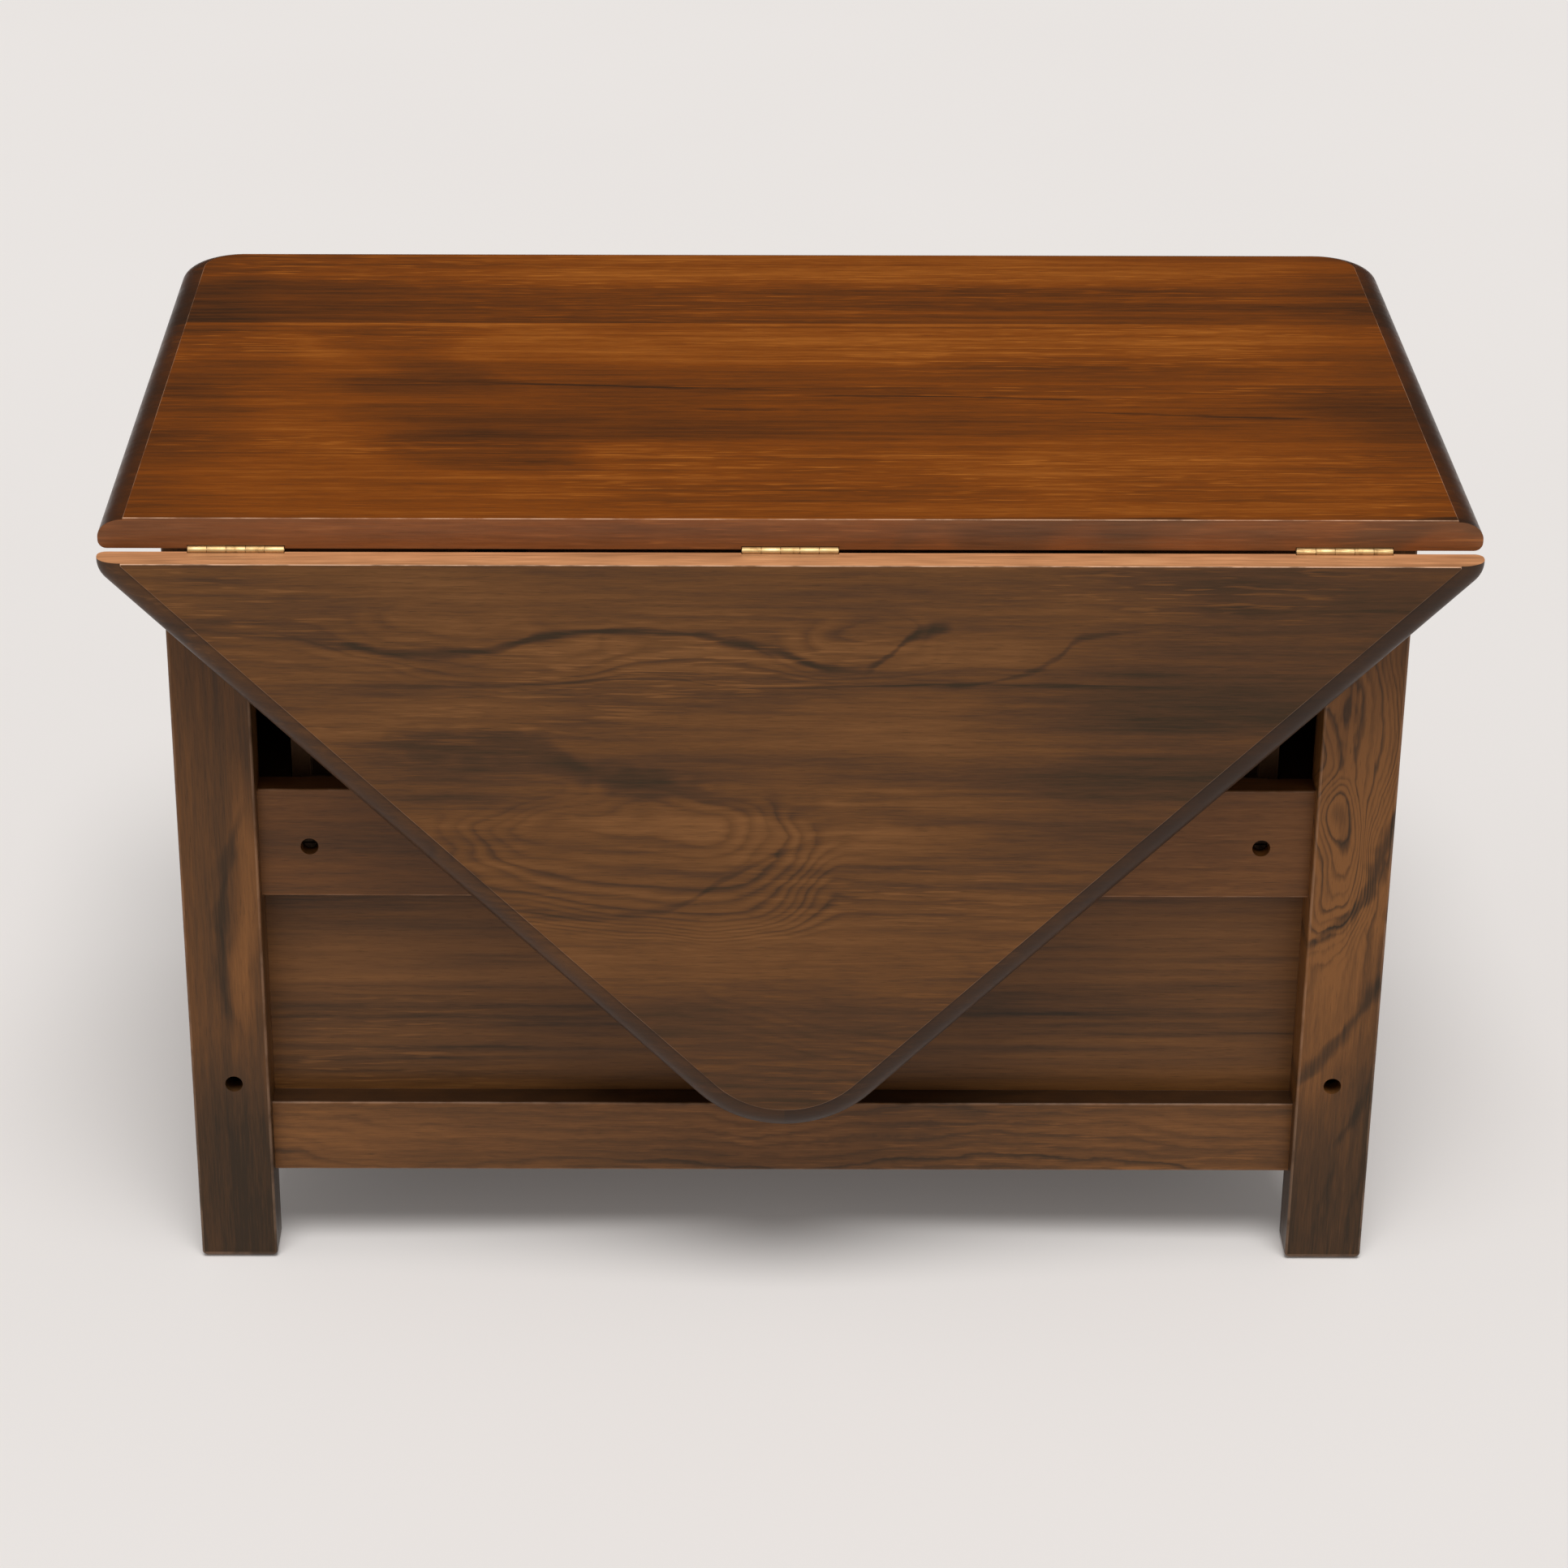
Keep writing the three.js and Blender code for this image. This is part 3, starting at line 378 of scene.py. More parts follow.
def grain_layers(tree, sawn, board, seed):
    """Noise stretched along the grain, from broad bands down to single pores."""
    return {
        "broad": tree.noise(tree.stretch(sawn, (0.9, 26.0, 26.0), seed), 2.0, 0.55, 0.15),
        "medium": tree.noise(tree.stretch(sawn, (4.5, 120.0, 120.0), seed), 4.0, 0.65),
        "fine": tree.noise(tree.stretch(sawn, (20.0, 420.0, 420.0), seed), 2.0, 0.6),
        "fibre": tree.noise(tree.stretch(sawn, (75.0, 1300.0, 1300.0), seed), 2.0, 0.6),
        "fleck": tree.noise(tree.stretch(sawn, (32.0, 560.0, 560.0), seed[::-1]), 1.0, 0.5),
        "pore": tree.noise(tree.stretch(sawn, (90.0, 2400.0, 2400.0), seed), 1.0, 0.5),
        "patch": tree.noise(tree.stretch(board, (4.0, 9.0, 9.0), seed), 3.0, 0.55),
        "presence": tree.noise(tree.stretch(sawn, (2.4, 9.0, 9.0), (seed[2], *seed[:2])), 1.0, 0.5),
    }


def streak_tone(tree, grain, layers):
    """The tone of plain wood: bands, streaks, fibres and pale flecks."""
    streaks = grain["streaks"]
    tone = MIDDLE_TONE
    for layer, amount in (("broad", 1.10 * streaks), ("medium", 0.80 * streaks), ("fine", 0.34),
                          ("fibre", 0.30), ("patch", grain["mottle"])):
        tone = tree.math("ADD", centred(tree, layers[layer], amount), tone)
    presence = tree.span(layers["presence"], *PRESENCE_SPAN)
    flecks = tree.math("MULTIPLY", tree.span(layers["fleck"], 0.58, 0.70), presence)
    return tree.math("ADD", tone, tree.math("MULTIPLY", flecks, grain["flecks"]))


def ring_strength(tree, places, grain, layers):
    """How strongly the rings show, fading in and out over the board and bold where it says so."""
    strength = tree.span(layers["presence"], *PRESENCE_SPAN, 0.35 * grain["figure"], grain["figure"])
    for place, reach, extra in grain["bold"]:
        bold = tree.math("MULTIPLY", spot(tree, places, place, reach), extra)
        strength = tree.math("ADD", strength, bold)
    return strength


def glued_joints(tree, tone, parts, joints):
    """The tone stepped at each glued joint, with a thin dark line along it."""
    for joint, step in joints:
        beyond = tree.math("GREATER_THAN", parts["Y"], joint)
        tone = tree.math("ADD", tone, tree.math("MULTIPLY", beyond, step))
        off = tree.math("ABSOLUTE", tree.math("SUBTRACT", parts["Y"], joint))
        tone = tree.math("SUBTRACT", tone, tree.span(off, 0.2 * MM, 1.2 * MM, 0.10, 0.0))
    return tone


def grain_tone(tree, sawn, board, parts, seed, grain, layers):
    """How light the wood is, about 0 to 1."""
    places = warped(tree, board, parts, seed)
    tone = streak_tone(tree, grain, layers)
    rings = ring_lines(tree, sawn, parts, places, seed, grain, layers["fine"])
    rings = tree.math("MULTIPLY", rings, ring_strength(tree, places, grain, layers))
    tone = tree.math("SUBTRACT", tone, rings)
    swelling = layers["patch"]
    if grain["veins"]:
        swelling = tree.noise(tree.stretch(board, (26.0, 30.0, 30.0), seed), 2.0, 0.6)
    for line in grain["veins"]:
        tone = tree.math("SUBTRACT", tone, vein(tree, parts, swelling, layers["fine"], line))
    for place, reach, depth in grain["patches"]:
        patch = tree.math("MULTIPLY", spot(tree, places, place, reach), depth)
        tone = tree.math("SUBTRACT", tone, patch)
    return glued_joints(tree, tone, parts, grain["joints"])


def separate_boards(tree, board, parts, joints):
    """Shifts the grain along and sideways at each glued joint, given across the face."""
    shifted = board
    for joint, _ in joints:
        beyond = tree.math("GREATER_THAN", parts["Y"], joint)
        shift = tree.node("ShaderNodeVectorMath", {0: JOINT_SHIFT, 3: beyond}, operation="SCALE")
        shifted = tree.node("ShaderNodeVectorMath", {0: shifted, 1: shift.outputs[0]},
                            operation="ADD").outputs[0]
    return shifted


def edge_stain_wear_and_painted_light(tree, colour, place, seed, layers):
    """The colour under the moulding's dark toning and painted shade, the arrises lightened as wear and painted
    highlight, and the bare hinge edge.
    """
    ragged = tree.noise(tree.stretch(place, (45.0, 45.0, 45.0), seed), 3.0, 0.6)
    stain_and_shade = tree.math("MULTIPLY", tree.attribute("stain_and_shade"), tree.span(ragged, 0.2, 0.7, 0.82, 0.96))
    colour = tree.mix(stain_and_shade, colour, EDGE_TONE)
    wear_and_highlight = tree.math("MULTIPLY", tree.attribute("arris"), tree.span(ragged, 0.36, 0.62, 0.20, 0.90))
    colour = tree.mix(wear_and_highlight, colour, ARRIS_WEAR_AND_HIGHLIGHT_TONE)
    bare_tone = tree.math("ADD", 0.52, centred(tree, layers["medium"], 1.2))
    bare_tone = tree.math("ADD", bare_tone, centred(tree, layers["fleck"], 0.9))
    bare_colour = tree.ramp(bare_tone, list(zip((0.1, 0.36, 0.6, 0.9), BARE_TONES)))
    bare = tree.math("MULTIPLY", tree.attribute("bare"), tree.span(ragged, 0.2, 0.7, 1.0, 0.88))
    return tree.mix(bare, colour, bare_colour)


def lacquer(tree, colour, layers, pores, gloss):
    """Connects the shader: the colour, a gloss broken by streaks and pores, and fine relief."""
    rough = tree.span(layers["medium"], 0.25, 0.75, gloss - 0.05, gloss + 0.08)
    rough = tree.math("ADD", rough, tree.math("MULTIPLY", pores, 0.12), clamp=True)
    height = tree.math("SUBTRACT", layers["fibre"], tree.math("MULTIPLY", pores, 0.8))
    relief = tree.bump(height, 0.06 * MM, 0.5)
    relief = tree.bump(layers["patch"], 1.0 * MM, 0.10, relief)
    tree.put(tree.shader.inputs["Base Color"], colour)
    tree.put(tree.shader.inputs["Roughness"], rough)
    tree.put(tree.shader.inputs["Normal"], relief)
    tree.shader.inputs["Specular IOR Level"].default_value = LACQUER_SPECULAR
    tree.shader.inputs["Coat Weight"].default_value = LACQUER_COAT
    tree.shader.inputs["Coat Roughness"].default_value = LACQUER_COAT_ROUGHNESS


def wood(name, tones, direction, seed, **changes):
    """Stained, lacquered wood: rings, streaks, fibres and pores, toned edges and worn arrises."""
    grain = {**STRAIGHT, **changes}
    tree = Tree(name)
    place, board = board_space(tree, direction)
    parts = tree.node("ShaderNodeSeparateXYZ", {"Vector": board}).outputs
    sawn = separate_boards(tree, board, parts, grain["joints"])
    layers = grain_layers(tree, sawn, board, seed)
    tone = grain_tone(tree, sawn, board, parts, seed, grain, layers)
    colour = tree.ramp(tone, list(zip(TONE_STOPS, tones)))
    pores = tree.span(layers["pore"], 0.62, 0.74)
    colour = tree.mix(tree.math("MULTIPLY", pores, PORE_DARKNESS), colour, tones[0])
    colour = edge_stain_wear_and_painted_light(tree, colour, place, seed, layers)
    lacquer(tree, colour, layers, pores, grain["gloss"])
    return tree.material


def brass(name, seed):
    """Lacquered brass gone slightly dull, with fine rubbing along the barrel and darker specks."""
    tree = Tree(name)
    place = tree.node("ShaderNodeTexCoord").outputs["Object"]
    rub = tree.noise(tree.stretch(place, (120.0, 1800.0, 1800.0), seed), 3.0, 0.6)
    stain = tree.noise(tree.stretch(place, (110.0, 110.0, 110.0), seed), 4.0, 0.65)
    colour = tree.ramp(stain, list(zip((0.28, 0.42, 0.70), BRASS_TONES)))
    colour = tree.mix(tree.math("MULTIPLY", rub, 0.25), colour, RUBBED_BRASS_TONE)
    tree.put(tree.shader.inputs["Base Color"], colour)
    tree.put(tree.shader.inputs["Roughness"], tree.span(stain, 0.3, 0.7, 0.62, 0.48))
    tree.put(tree.shader.inputs["Normal"], tree.bump(rub, 0.03 * MM, 0.4))
    tree.shader.inputs["Metallic"].default_value = 1.0
    return tree.material


def steel(name, seed):
    """Screw steel, brownish and almost black as painted shade for the deep holes it sits in, blotched darker and
    lighter.
    """
    tree = Tree(name)
    place = tree.node("ShaderNodeTexCoord").outputs["Object"]
    stain = tree.noise(tree.stretch(place, (240.0, 240.0, 240.0), seed), 4.0, 0.65)
    fine = tree.noise(tree.stretch(place, (1800.0, 1800.0, 1800.0), seed), 2.0, 0.5)
    colour = tree.ramp(stain, list(zip((0.3, 0.55, 0.8), SHADED_STEEL_TONES)))
    tree.put(tree.shader.inputs["Base Color"], colour)
    rough = tree.span(stain, 0.3, 0.7, STEEL_ROUGHNESS + 0.12, STEEL_ROUGHNESS - 0.08)
    tree.put(tree.shader.inputs["Roughness"], rough)
    tree.put(tree.shader.inputs["Normal"], tree.bump(fine, 0.03 * MM, 0.3))
    tree.shader.inputs["Metallic"].default_value = 1.0
    return tree.material


# ================================================================== meshes
def add_piece(name, mesh, body, slot, material, *replaced):
    piece = bpy.data.objects.new(name, mesh)
    bpy.context.scene.collection.objects.link(piece)
    mesh.materials.clear()
    mesh.materials.append(material)
    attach(piece, body)
    if replaced:
        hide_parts(*replaced)
    return piece


def even_shading(piece):
    """Flat faces stay flat beside rounded edges."""
    modifier = piece.modifiers.new("even_shading", "WEIGHTED_NORMAL")
    modifier.keep_sharp = True
    modifier.weight = 60


def set_smooth(bm, sharp_degrees=36.0):
    limit = math.radians(sharp_degrees)
    for face in bm.faces:
        face.smooth = True
    for edge in bm.edges:
        edge.smooth = len(edge.link_faces) == 2 and edge.calc_face_angle(0.0) < limit


def mark_faces(bm, faces, layer_name, amount=1.0):
    layer = bm.loops.layers.float.get(layer_name) or bm.loops.layers.float.new(layer_name)
    for face in faces:
        for loop in face.loops:
            loop[layer] = amount


def bm_to_mesh(bm, name):
    mesh = bpy.data.meshes.new(name)
    bm.to_mesh(mesh)
    bm.free()
    return mesh


def cad_bmesh(node):
    """The CAD solid, welded, its coplanar triangles joined into whole faces."""
    bm = bmesh.new()
    bm.from_mesh(frame["nodes"][node].data)
    bmesh.ops.remove_doubles(bm, verts=bm.verts, dist=1e-6)
    bmesh.ops.dissolve_limit(bm, angle_limit=math.radians(0.3), verts=bm.verts, edges=bm.edges)
    bm.normal_update()
    return bm


def outer_arrises(bm, low, high, foot=0.0):
    """Convex edges between faces on the solid's own outer planes, and those under foot height."""
    near = 1e-5

    def on_outside(face):
        centre = face.calc_center_median()
        for axis in range(3):
            outward = abs(face.normal[axis]) > 0.99
            if outward and (centre[axis] - low[axis] < near or high[axis] - centre[axis] < near):
                return True
        return max(vert.co.z for vert in face.verts) < foot

    chosen = []
    for edge in bm.edges:
        if len(edge.link_faces) != 2 or not edge.is_convex:
            continue
        sharp = edge.calc_face_angle(0.0) > math.radians(25)
        if sharp and all(on_outside(face) for face in edge.link_faces):
            chosen.append(edge)
    return chosen


def eased_copy(node, radius, segments=3, foot=0.0, along=None):
    """The CAD solid with its outer arrises rounded; along keeps only edges that run that way."""
    bm = cad_bmesh(node)
    low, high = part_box(node)
    edges = outer_arrises(bm, low, high, foot)
    if along is not None:
        edges = [edge for edge in edges
                 if abs((edge.verts[0].co - edge.verts[1].co).normalized()[along]) > 0.99
                 or max(vert.co.z for vert in edge.verts) < foot]
    made = bmesh.ops.bevel(bm, geom=edges, offset=radius, segments=segments, profile=0.5,
                           affect="EDGES", clamp_overlap=True)
    # The eased arrises are lightened as wear and painted highlight.
    mark_faces(bm, made["faces"], "arris", FRAME_WEAR_AND_HIGHLIGHT)
    # Painted shade: the bottom rail's top face is darkened for the shadowed gap under the rear panel.
    if node == "rear_bottom_rail":
        ledge = [face for face in bm.faces if face.normal.z > 0.9]
        mark_faces(bm, ledge, "stain_and_shade", LEDGE_PAINTED_SHADE)
    bm.normal_update()
    set_smooth(bm)
    return bm_to_mesh(bm, node + "_eased")


# ------------------------------------------------------------------ moulded boards
def arc(centre, radius, start, end, steps):
    """Points on an arc, angles in degrees."""
    points = []
    for step in range(steps + 1):
        angle = math.radians(start + (end - start) * step / steps)
        points.append((centre[0] + radius * math.cos(angle), centre[1] + radius * math.sin(angle)))
    return points


def moulding_profile(thickness):
    """(inset from the outermost edge, drop from the face), from the field down to the underside."""
    points = [(MOULD_WIDTH, 0.0), (MOULD_WIDTH, MOULD_STEP)]
    for step in range(BELLY_STEPS + 1):
        angle = math.pi / 2 * step / BELLY_STEPS
        points.append((BELLY_OUT * (1 - math.sin(angle)),
                       BELLY_DROP - (BELLY_DROP - MOULD_STEP) * math.cos(angle)))
    for step in range(LOWER_ROUND_STEPS + 1):
        angle = math.pi / 2 * step / LOWER_ROUND_STEPS
        points.append((LOWER_ROUND * (1 - math.cos(angle)),
                       LOWER_ROUND_START + LOWER_ROUND * math.sin(angle)))
    points[-1] = (LOWER_ROUND, thickness)
    return points


def top_outline(half, depth, inset):
    """Round the top from one end of the hinge edge to the other; the hinge edge is on y = 0."""
    radius = TOP_CORNER_RADIUS
    corner_x, corner_y = half - radius, depth - radius
    return [(half - inset, 0.0),
            *arc((corner_x, corner_y), radius - inset, 0, 90, 20),
            *arc((-corner_x, corner_y), radius - inset, 90, 180, 20),
            (inset - half, 0.0)]


def leaf_outline(half, depth, inset):
    """Round the leaf, drawn level with its hinge edge on y = 0 and its tip towards -Y."""
    corner_x = half - LEAF_CORNER_RADIUS
    tip_y = LEAF_TIP_RADIUS - depth
    virtual = LEAF_TIP_RADIUS * math.sqrt(2) - tip_y
    corner_y = LEAF_CORNER_RADIUS * math.sqrt(2) + corner_x - virtual
    return [(inset - half, 0.0),
            *arc((-corner_x, corner_y), LEAF_CORNER_RADIUS - inset, 180, 225, 8),
            *arc((0.0, tip_y), LEAF_TIP_RADIUS - inset, 225, 315, 30),
            *arc((corner_x, corner_y), LEAF_CORNER_RADIUS - inset, 315, 360, 8),
            (half - inset, 0.0)]


def tone_moulding(bm, sides, columns, looks):
    """Darkens the moulding step by step, from the one beside the field down to the underside, the right half more
    as painted shade.
    """
    for number, face in enumerate(sides[columns:], start=columns):
        first = looks["toned_and_shaded_right" if face.calc_center_median().x > 0 else "toned_left"]
        stain_and_shade = min(EDGE_TONED_MOST, first + EDGE_TONED_RISE * (number // columns))
        mark_faces(bm, [face], "stain_and_shade", stain_and_shade)


def ease_field(bm, field, looks):
    """Rounds the arris round the field and lightens it as wear and painted highlight, more so beside the hinge
    edge.
    """
    made = bmesh.ops.bevel(bm, geom=list(field.edges), offset=FIELD_ARRIS, segments=2, profile=0.5,
                           affect="EDGES", clamp_overlap=True)
    for face in made["faces"]:
        beside_hinge = abs(face.calc_center_median().y) < 1 * MM
        mark_faces(bm, [face], "arris", looks["edge_wear_and_highlight"] if beside_hinge else looks["wear_and_highlight"])
        mark_faces(bm, [face], "bare", 0.0)
        mark_faces(bm, [face], "stain_and_shade", 0.0)


def moulded_board(name, outline, half, depth, thickness, place, looks):
    """A board whose face is on z = 0, square at its hinge edge and moulded round the rest."""
    bm = bmesh.new()
    rows = [[bm.verts.new((x, y, -drop)) for x, y in outline(half, depth, inset)]
            for inset, drop in moulding_profile(thickness)]
    columns = len(rows[0]) - 1
    sides = []
    for upper, lower in zip(rows, rows[1:]):
        for left in range(columns):
            sides.append(bm.faces.new((upper[left], upper[left + 1], lower[left + 1], lower[left])))
    field = bm.faces.new(rows[0])
    bm.faces.new(rows[-1][::-1])
    hinge_edge = bm.faces.new([row[0] for row in rows] + [row[-1] for row in rows[::-1]])
    bmesh.ops.recalc_face_normals(bm, faces=bm.faces)
    tone_moulding(bm, sides, columns, looks)
    mark_faces(bm, [hinge_edge], "stain_and_shade", looks["edge_toned"])
    mark_faces(bm, [hinge_edge], "bare", looks["edge_bare"])
    ease_field(bm, field, looks)
    bmesh.ops.transform(bm, matrix=place, verts=bm.verts)
    bmesh.ops.recalc_face_normals(bm, faces=bm.faces)
    set_smooth(bm)
    return bm_to_mesh(bm, name)


def box_verts(bm, low, high):
    made = bmesh.ops.create_cube(bm, size=1.0)["verts"]
    for vert in made:
        for axis in range(3):
            vert.co[axis] = low[axis] if vert.co[axis] < 0 else high[axis]


def carve(piece, cutters):
    """Cuts the cutters' solids out of the piece for good."""
    for cutter in cutters:
        modifier = piece.modifiers.new("carve", "BOOLEAN")
        modifier.operation = "DIFFERENCE"
        modifier.solver = "EXACT"
        modifier.object = cutter
    bpy.context.view_layer.update()
    evaluated = piece.evaluated_get(bpy.context.evaluated_depsgraph_get())
    mesh = bpy.data.meshes.new_from_object(evaluated)
    piece.modifiers.clear()
    piece.data = mesh
    for cutter in cutters:
        bpy.data.objects.remove(cutter)


def recess_corners(low, high, pin):
    """The low and high corner of the recess for a plate with these corners."""
    room = Vector((PLATE_FIT, PLATE_FIT, PLATE_FIT))
    lies_flat = high.y - pin.y > 2 * BARREL_RADIUS
    if lies_flat:
        inner = Vector((low.x, pin.y, pin.z + PLATE_OUT)) - Vector((PLATE_FIT, 0, CUT_PAST))
        return inner, high + room
    inner = Vector((low.x, pin.y - PLATE_OUT - PLATE_THICKNESS, low.z)) - room
    return inner, Vector((high.x, pin.y + CUT_PAST, pin.z)) + Vector((PLATE_FIT, 0, 0))


def hinge_room(plate_node, pin):
    """Two cutters: the let-in plate's recess and the room for the barrel."""
    low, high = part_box(plate_node)
    bm = bmesh.new()
    box_verts(bm, *recess_corners(low, high, pin))
    recess = bpy.data.objects.new("recess_cutter", bm_to_mesh(bm, "recess_cutter"))
    bm = bmesh.new()
    turn = Matrix.Rotation(math.pi / 2, 4, "Y")
    centre = Vector(((low.x + high.x) / 2, pin.y, pin.z))
    bmesh.ops.create_cone(bm, cap_ends=True, segments=32, radius1=BARREL_ROOM, radius2=BARREL_ROOM,
                          depth=high.x - low.x + 2 * PLATE_FIT,
                          matrix=Matrix.Translation(centre) @ turn)
    room = bpy.data.objects.new("barrel_cutter", bm_to_mesh(bm, "barrel_cutter"))
    for cutter in (recess, room):
        bpy.context.scene.collection.objects.link(cutter)
    return [recess, room]


def leaf_pin():
    hinge = next(joint for joint in frame["joints"] if joint["name"] == "leaf_hinge")
    return Vector(hinge["pos_m"])


TOP_SEED = (3.1, 7.7, 1.9)
TOP_FIGURE = {"figure": 0.12, "streaks": 0.62, "flecks": 0.24, "mottle": 0.50, "gloss": 0.34,
              "joints": TOP_JOINTS, "patches": TOP_PATCHES, "veins": TOP_VEINS}
LEAF_SEED = (9.3, 2.2, 5.1)
LEAF_FIGURE = {"spacing": 10 * MM, "waves": (1.5, 8.0), "wander": 0.060, "ripple": 0.014, "lean": 0.03,
               "figure": 0.26, "streaks": 0.70, "flecks": 0.34, "mottle": 0.70, "gloss": 0.40,
               "swirls": LEAF_SWIRLS, "veins": LEAF_VEINS, "patches": LEAF_PATCHES, "bold": LEAF_BOLD}


def build_top():
    low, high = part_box("top_board")
    half = (high.x - low.x) / 2
    place = Matrix.Translation((0, low.y, high.z))
    mesh = moulded_board("top_panel", top_outline, half, high.y - low.y, high.z - low.z, place,
                         TOP_EDGES)
    material = wood("top_wood", TOP_TONES, "X", TOP_SEED, **TOP_FIGURE)
    piece = add_piece("top_panel", mesh, "case", "top_wood", material, "top_board")
    for word in ("left", "middle", "right"):
        carve(piece, hinge_room(f"hinge_{word}_top_plate", leaf_pin()))
    even_shading(piece)


def build_leaf():
    low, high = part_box("drop_leaf")
    half = (high.x - low.x) / 2
    hang = Matrix.Translation((0, low.y, high.z)) @ Matrix.Rotation(math.pi / 2, 4, "X")
    mesh = moulded_board("leaf_panel", leaf_outline, half, high.z - low.z, high.y - low.y, hang,
                         LEAF_EDGES)
    material = wood("leaf_wood", LEAF_TONES, "X_UPRIGHT", LEAF_SEED, **LEAF_FIGURE)
    piece = add_piece("leaf_panel", mesh, "leaf", "leaf_wood", material, "drop_leaf")
    for word in ("left", "middle", "right"):
        carve(piece, hinge_room(f"hinge_{word}_leaf_plate", leaf_pin()))
    even_shading(piece)


# ------------------------------------------------------------------ the rest of the chest
def random_seed(source):
    return tuple(round(source.uniform(1, 40), 2) for _ in range(3))


CROSS_RAILS = ("rear_top", "rear_upper", "rear_bottom", "front_top", "front_middle", "front_bottom")
FRAME_PIECES = {
    # node start: (grain, the axis along which its arrises are eased, their radius in mm, and the
    # height under which every arris is eased)
    "leg_": ("Z", 2, 1.6, 0.004),
    **{f"{place}_rail": ("X_UPRIGHT", 0, 1.2, 0.0) for place in CROSS_RAILS},
    "side_top_rail": ("Y", 1, 1.2, 0.0),
    "side_bottom_rail": ("Y", 1, 1.2, 0.0),
    "upper_drawer_front": ("X_UPRIGHT", None, 2.0, 0.0),
    "lower_drawer_front": ("X_UPRIGHT", None, 2.0, 0.0),
}
INNER_PIECES = {
    "upper_runner": "Y", "lower_runner": "Y", "pull_out_bar": "Y", "bar_channel": "Y",
    "upper_drawer_side": "Y", "lower_drawer_side": "Y",
    "upper_drawer_back": "X_UPRIGHT", "lower_drawer_back": "X_UPRIGHT",
    "upper_drawer_bottom": "X", "lower_drawer_bottom": "X",
}
PANEL_PIECES = {"rear_panel": "X_UPRIGHT", "side_panel": "Y"}
RAIL_FIGURE = {"spacing": 9 * MM, "waves": (3.0, 12.0), "wander": 0.034, "ripple": 0.010, "lean": 0.02,
               "figure": 0.24, "streaks": 0.50, "flecks": 0.20, "mottle": 0.75}
SWIRLED_RAIL_FIGURE = {**RAIL_FIGURE, "waves": (7.0, 12.0), "wander": 0.065, "figure": 0.46}
PANEL_FIGURE = {"spacing": 8 * MM, "waves": (0.8, 10.0), "wander": 0.024, "figure": 0.30,
                "streaks": 1.20, "flecks": 0.28, "mottle": 0.35, "gloss": 0.45}
KNOB_FIGURE = {"spacing": 4 * MM, "wander": 0.02, "figure": 0.3}
# The feet darken towards the floor: how far up, how far across, and by how much.
FEET_REACH = (0.17, 0.30)
FEET_DARKNESS = 0.37


def starts_with(node, table):
    """The first of the table's keys that the node's name starts with."""
    for start in table:
        if node.startswith(start):
            return start
    return None


def body_of(node):
    """The body that the record puts this node in."""
    for body, members in frame["record"]["behaviour"]["bodies"].items():
        if node in members:
            return body
    raise ValueError(node)


def leg_figure(node):
    """The right rear leg shows a bold cathedral figure cut by dark bands; the others are plainer."""
    across = -(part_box(node)[0].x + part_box(node)[1].x) / 2
    feet = ((0.0, across), FEET_REACH, FEET_DARKNESS)
    figure = {"spacing": 8 * MM, "waves": (3.2, 14.0), "wander": 0.024, "figure": 0.18,
              "patches": (feet,)}
    if node == "leg_rear_right":
        return {**figure, "spacing": 9 * MM, "wander": 0.040, "ripple": 0.018, "lean": 0.10,
                "figure": 0.12, "swirls": RIGHT_LEG_SWIRLS, "bold": RIGHT_LEG_BOLD,
                "veins": RIGHT_LEG_VEINS, "patches": (feet, *RIGHT_LEG_PATCHES)}
    if node == "leg_rear_left":
        return {**figure, "veins": LEFT_LEG_VEINS, "patches": (feet, *LEFT_LEG_PATCHES)}
    return figure


def frame_figure(node):
    if node.startswith("leg_"):
        return leg_figure(node)
    return SWIRLED_RAIL_FIGURE if node == "rear_bottom_rail" else RAIL_FIGURE


def build_wooden(node, seed, tones, slot, direction, mesh, **changes):
    material = wood(node + "_wood", tones, direction, seed, **changes)
    even_shading(add_piece(node + "_wood", mesh, body_of(node), slot, material, node))


def build_frame_piece(node, seed, start):
    direction, along, radius, foot = FRAME_PIECES[start]
    tones = LEG_TONES if start in ("leg_", "rear_bottom_rail") else RAIL_TONES
    mesh = eased_copy(node, radius * MM, 3, foot, along)
    build_wooden(node, seed, tones, "frame_wood", direction, mesh, **frame_figure(node))


def build_panel(node, seed, start):
    mesh = eased_copy(node, PANEL_ARRIS, 2)
    build_wooden(node, seed, PANEL_TONES, "panel_wood", PANEL_PIECES[start], mesh, **PANEL_FIGURE)


def build_inner_piece(node, seed, start):
    # Inside pieces get the darker tones as painted shade; the drawer boxes keep their own.
    drawer_box = "drawer" in node and not node.endswith("_back")
    tones = DRAWER_TONES if drawer_box else INNER_SHADE_TONES
    mesh = eased_copy(node, INNER_ARRIS, 2)
    build_wooden(node, seed, tones, "inner_wood", INNER_PIECES[start], mesh, gloss=0.55)


def build_woodwork():
    kinds = ((FRAME_PIECES, build_frame_piece), (PANEL_PIECES, build_panel),
             (INNER_PIECES, build_inner_piece))
    source = random.Random(41)
    for node in sorted(frame["nodes"]):
        seed = random_seed(source)
        for table, build in kinds:
            start = starts_with(node, table)
            if start:
                build(node, seed, start)


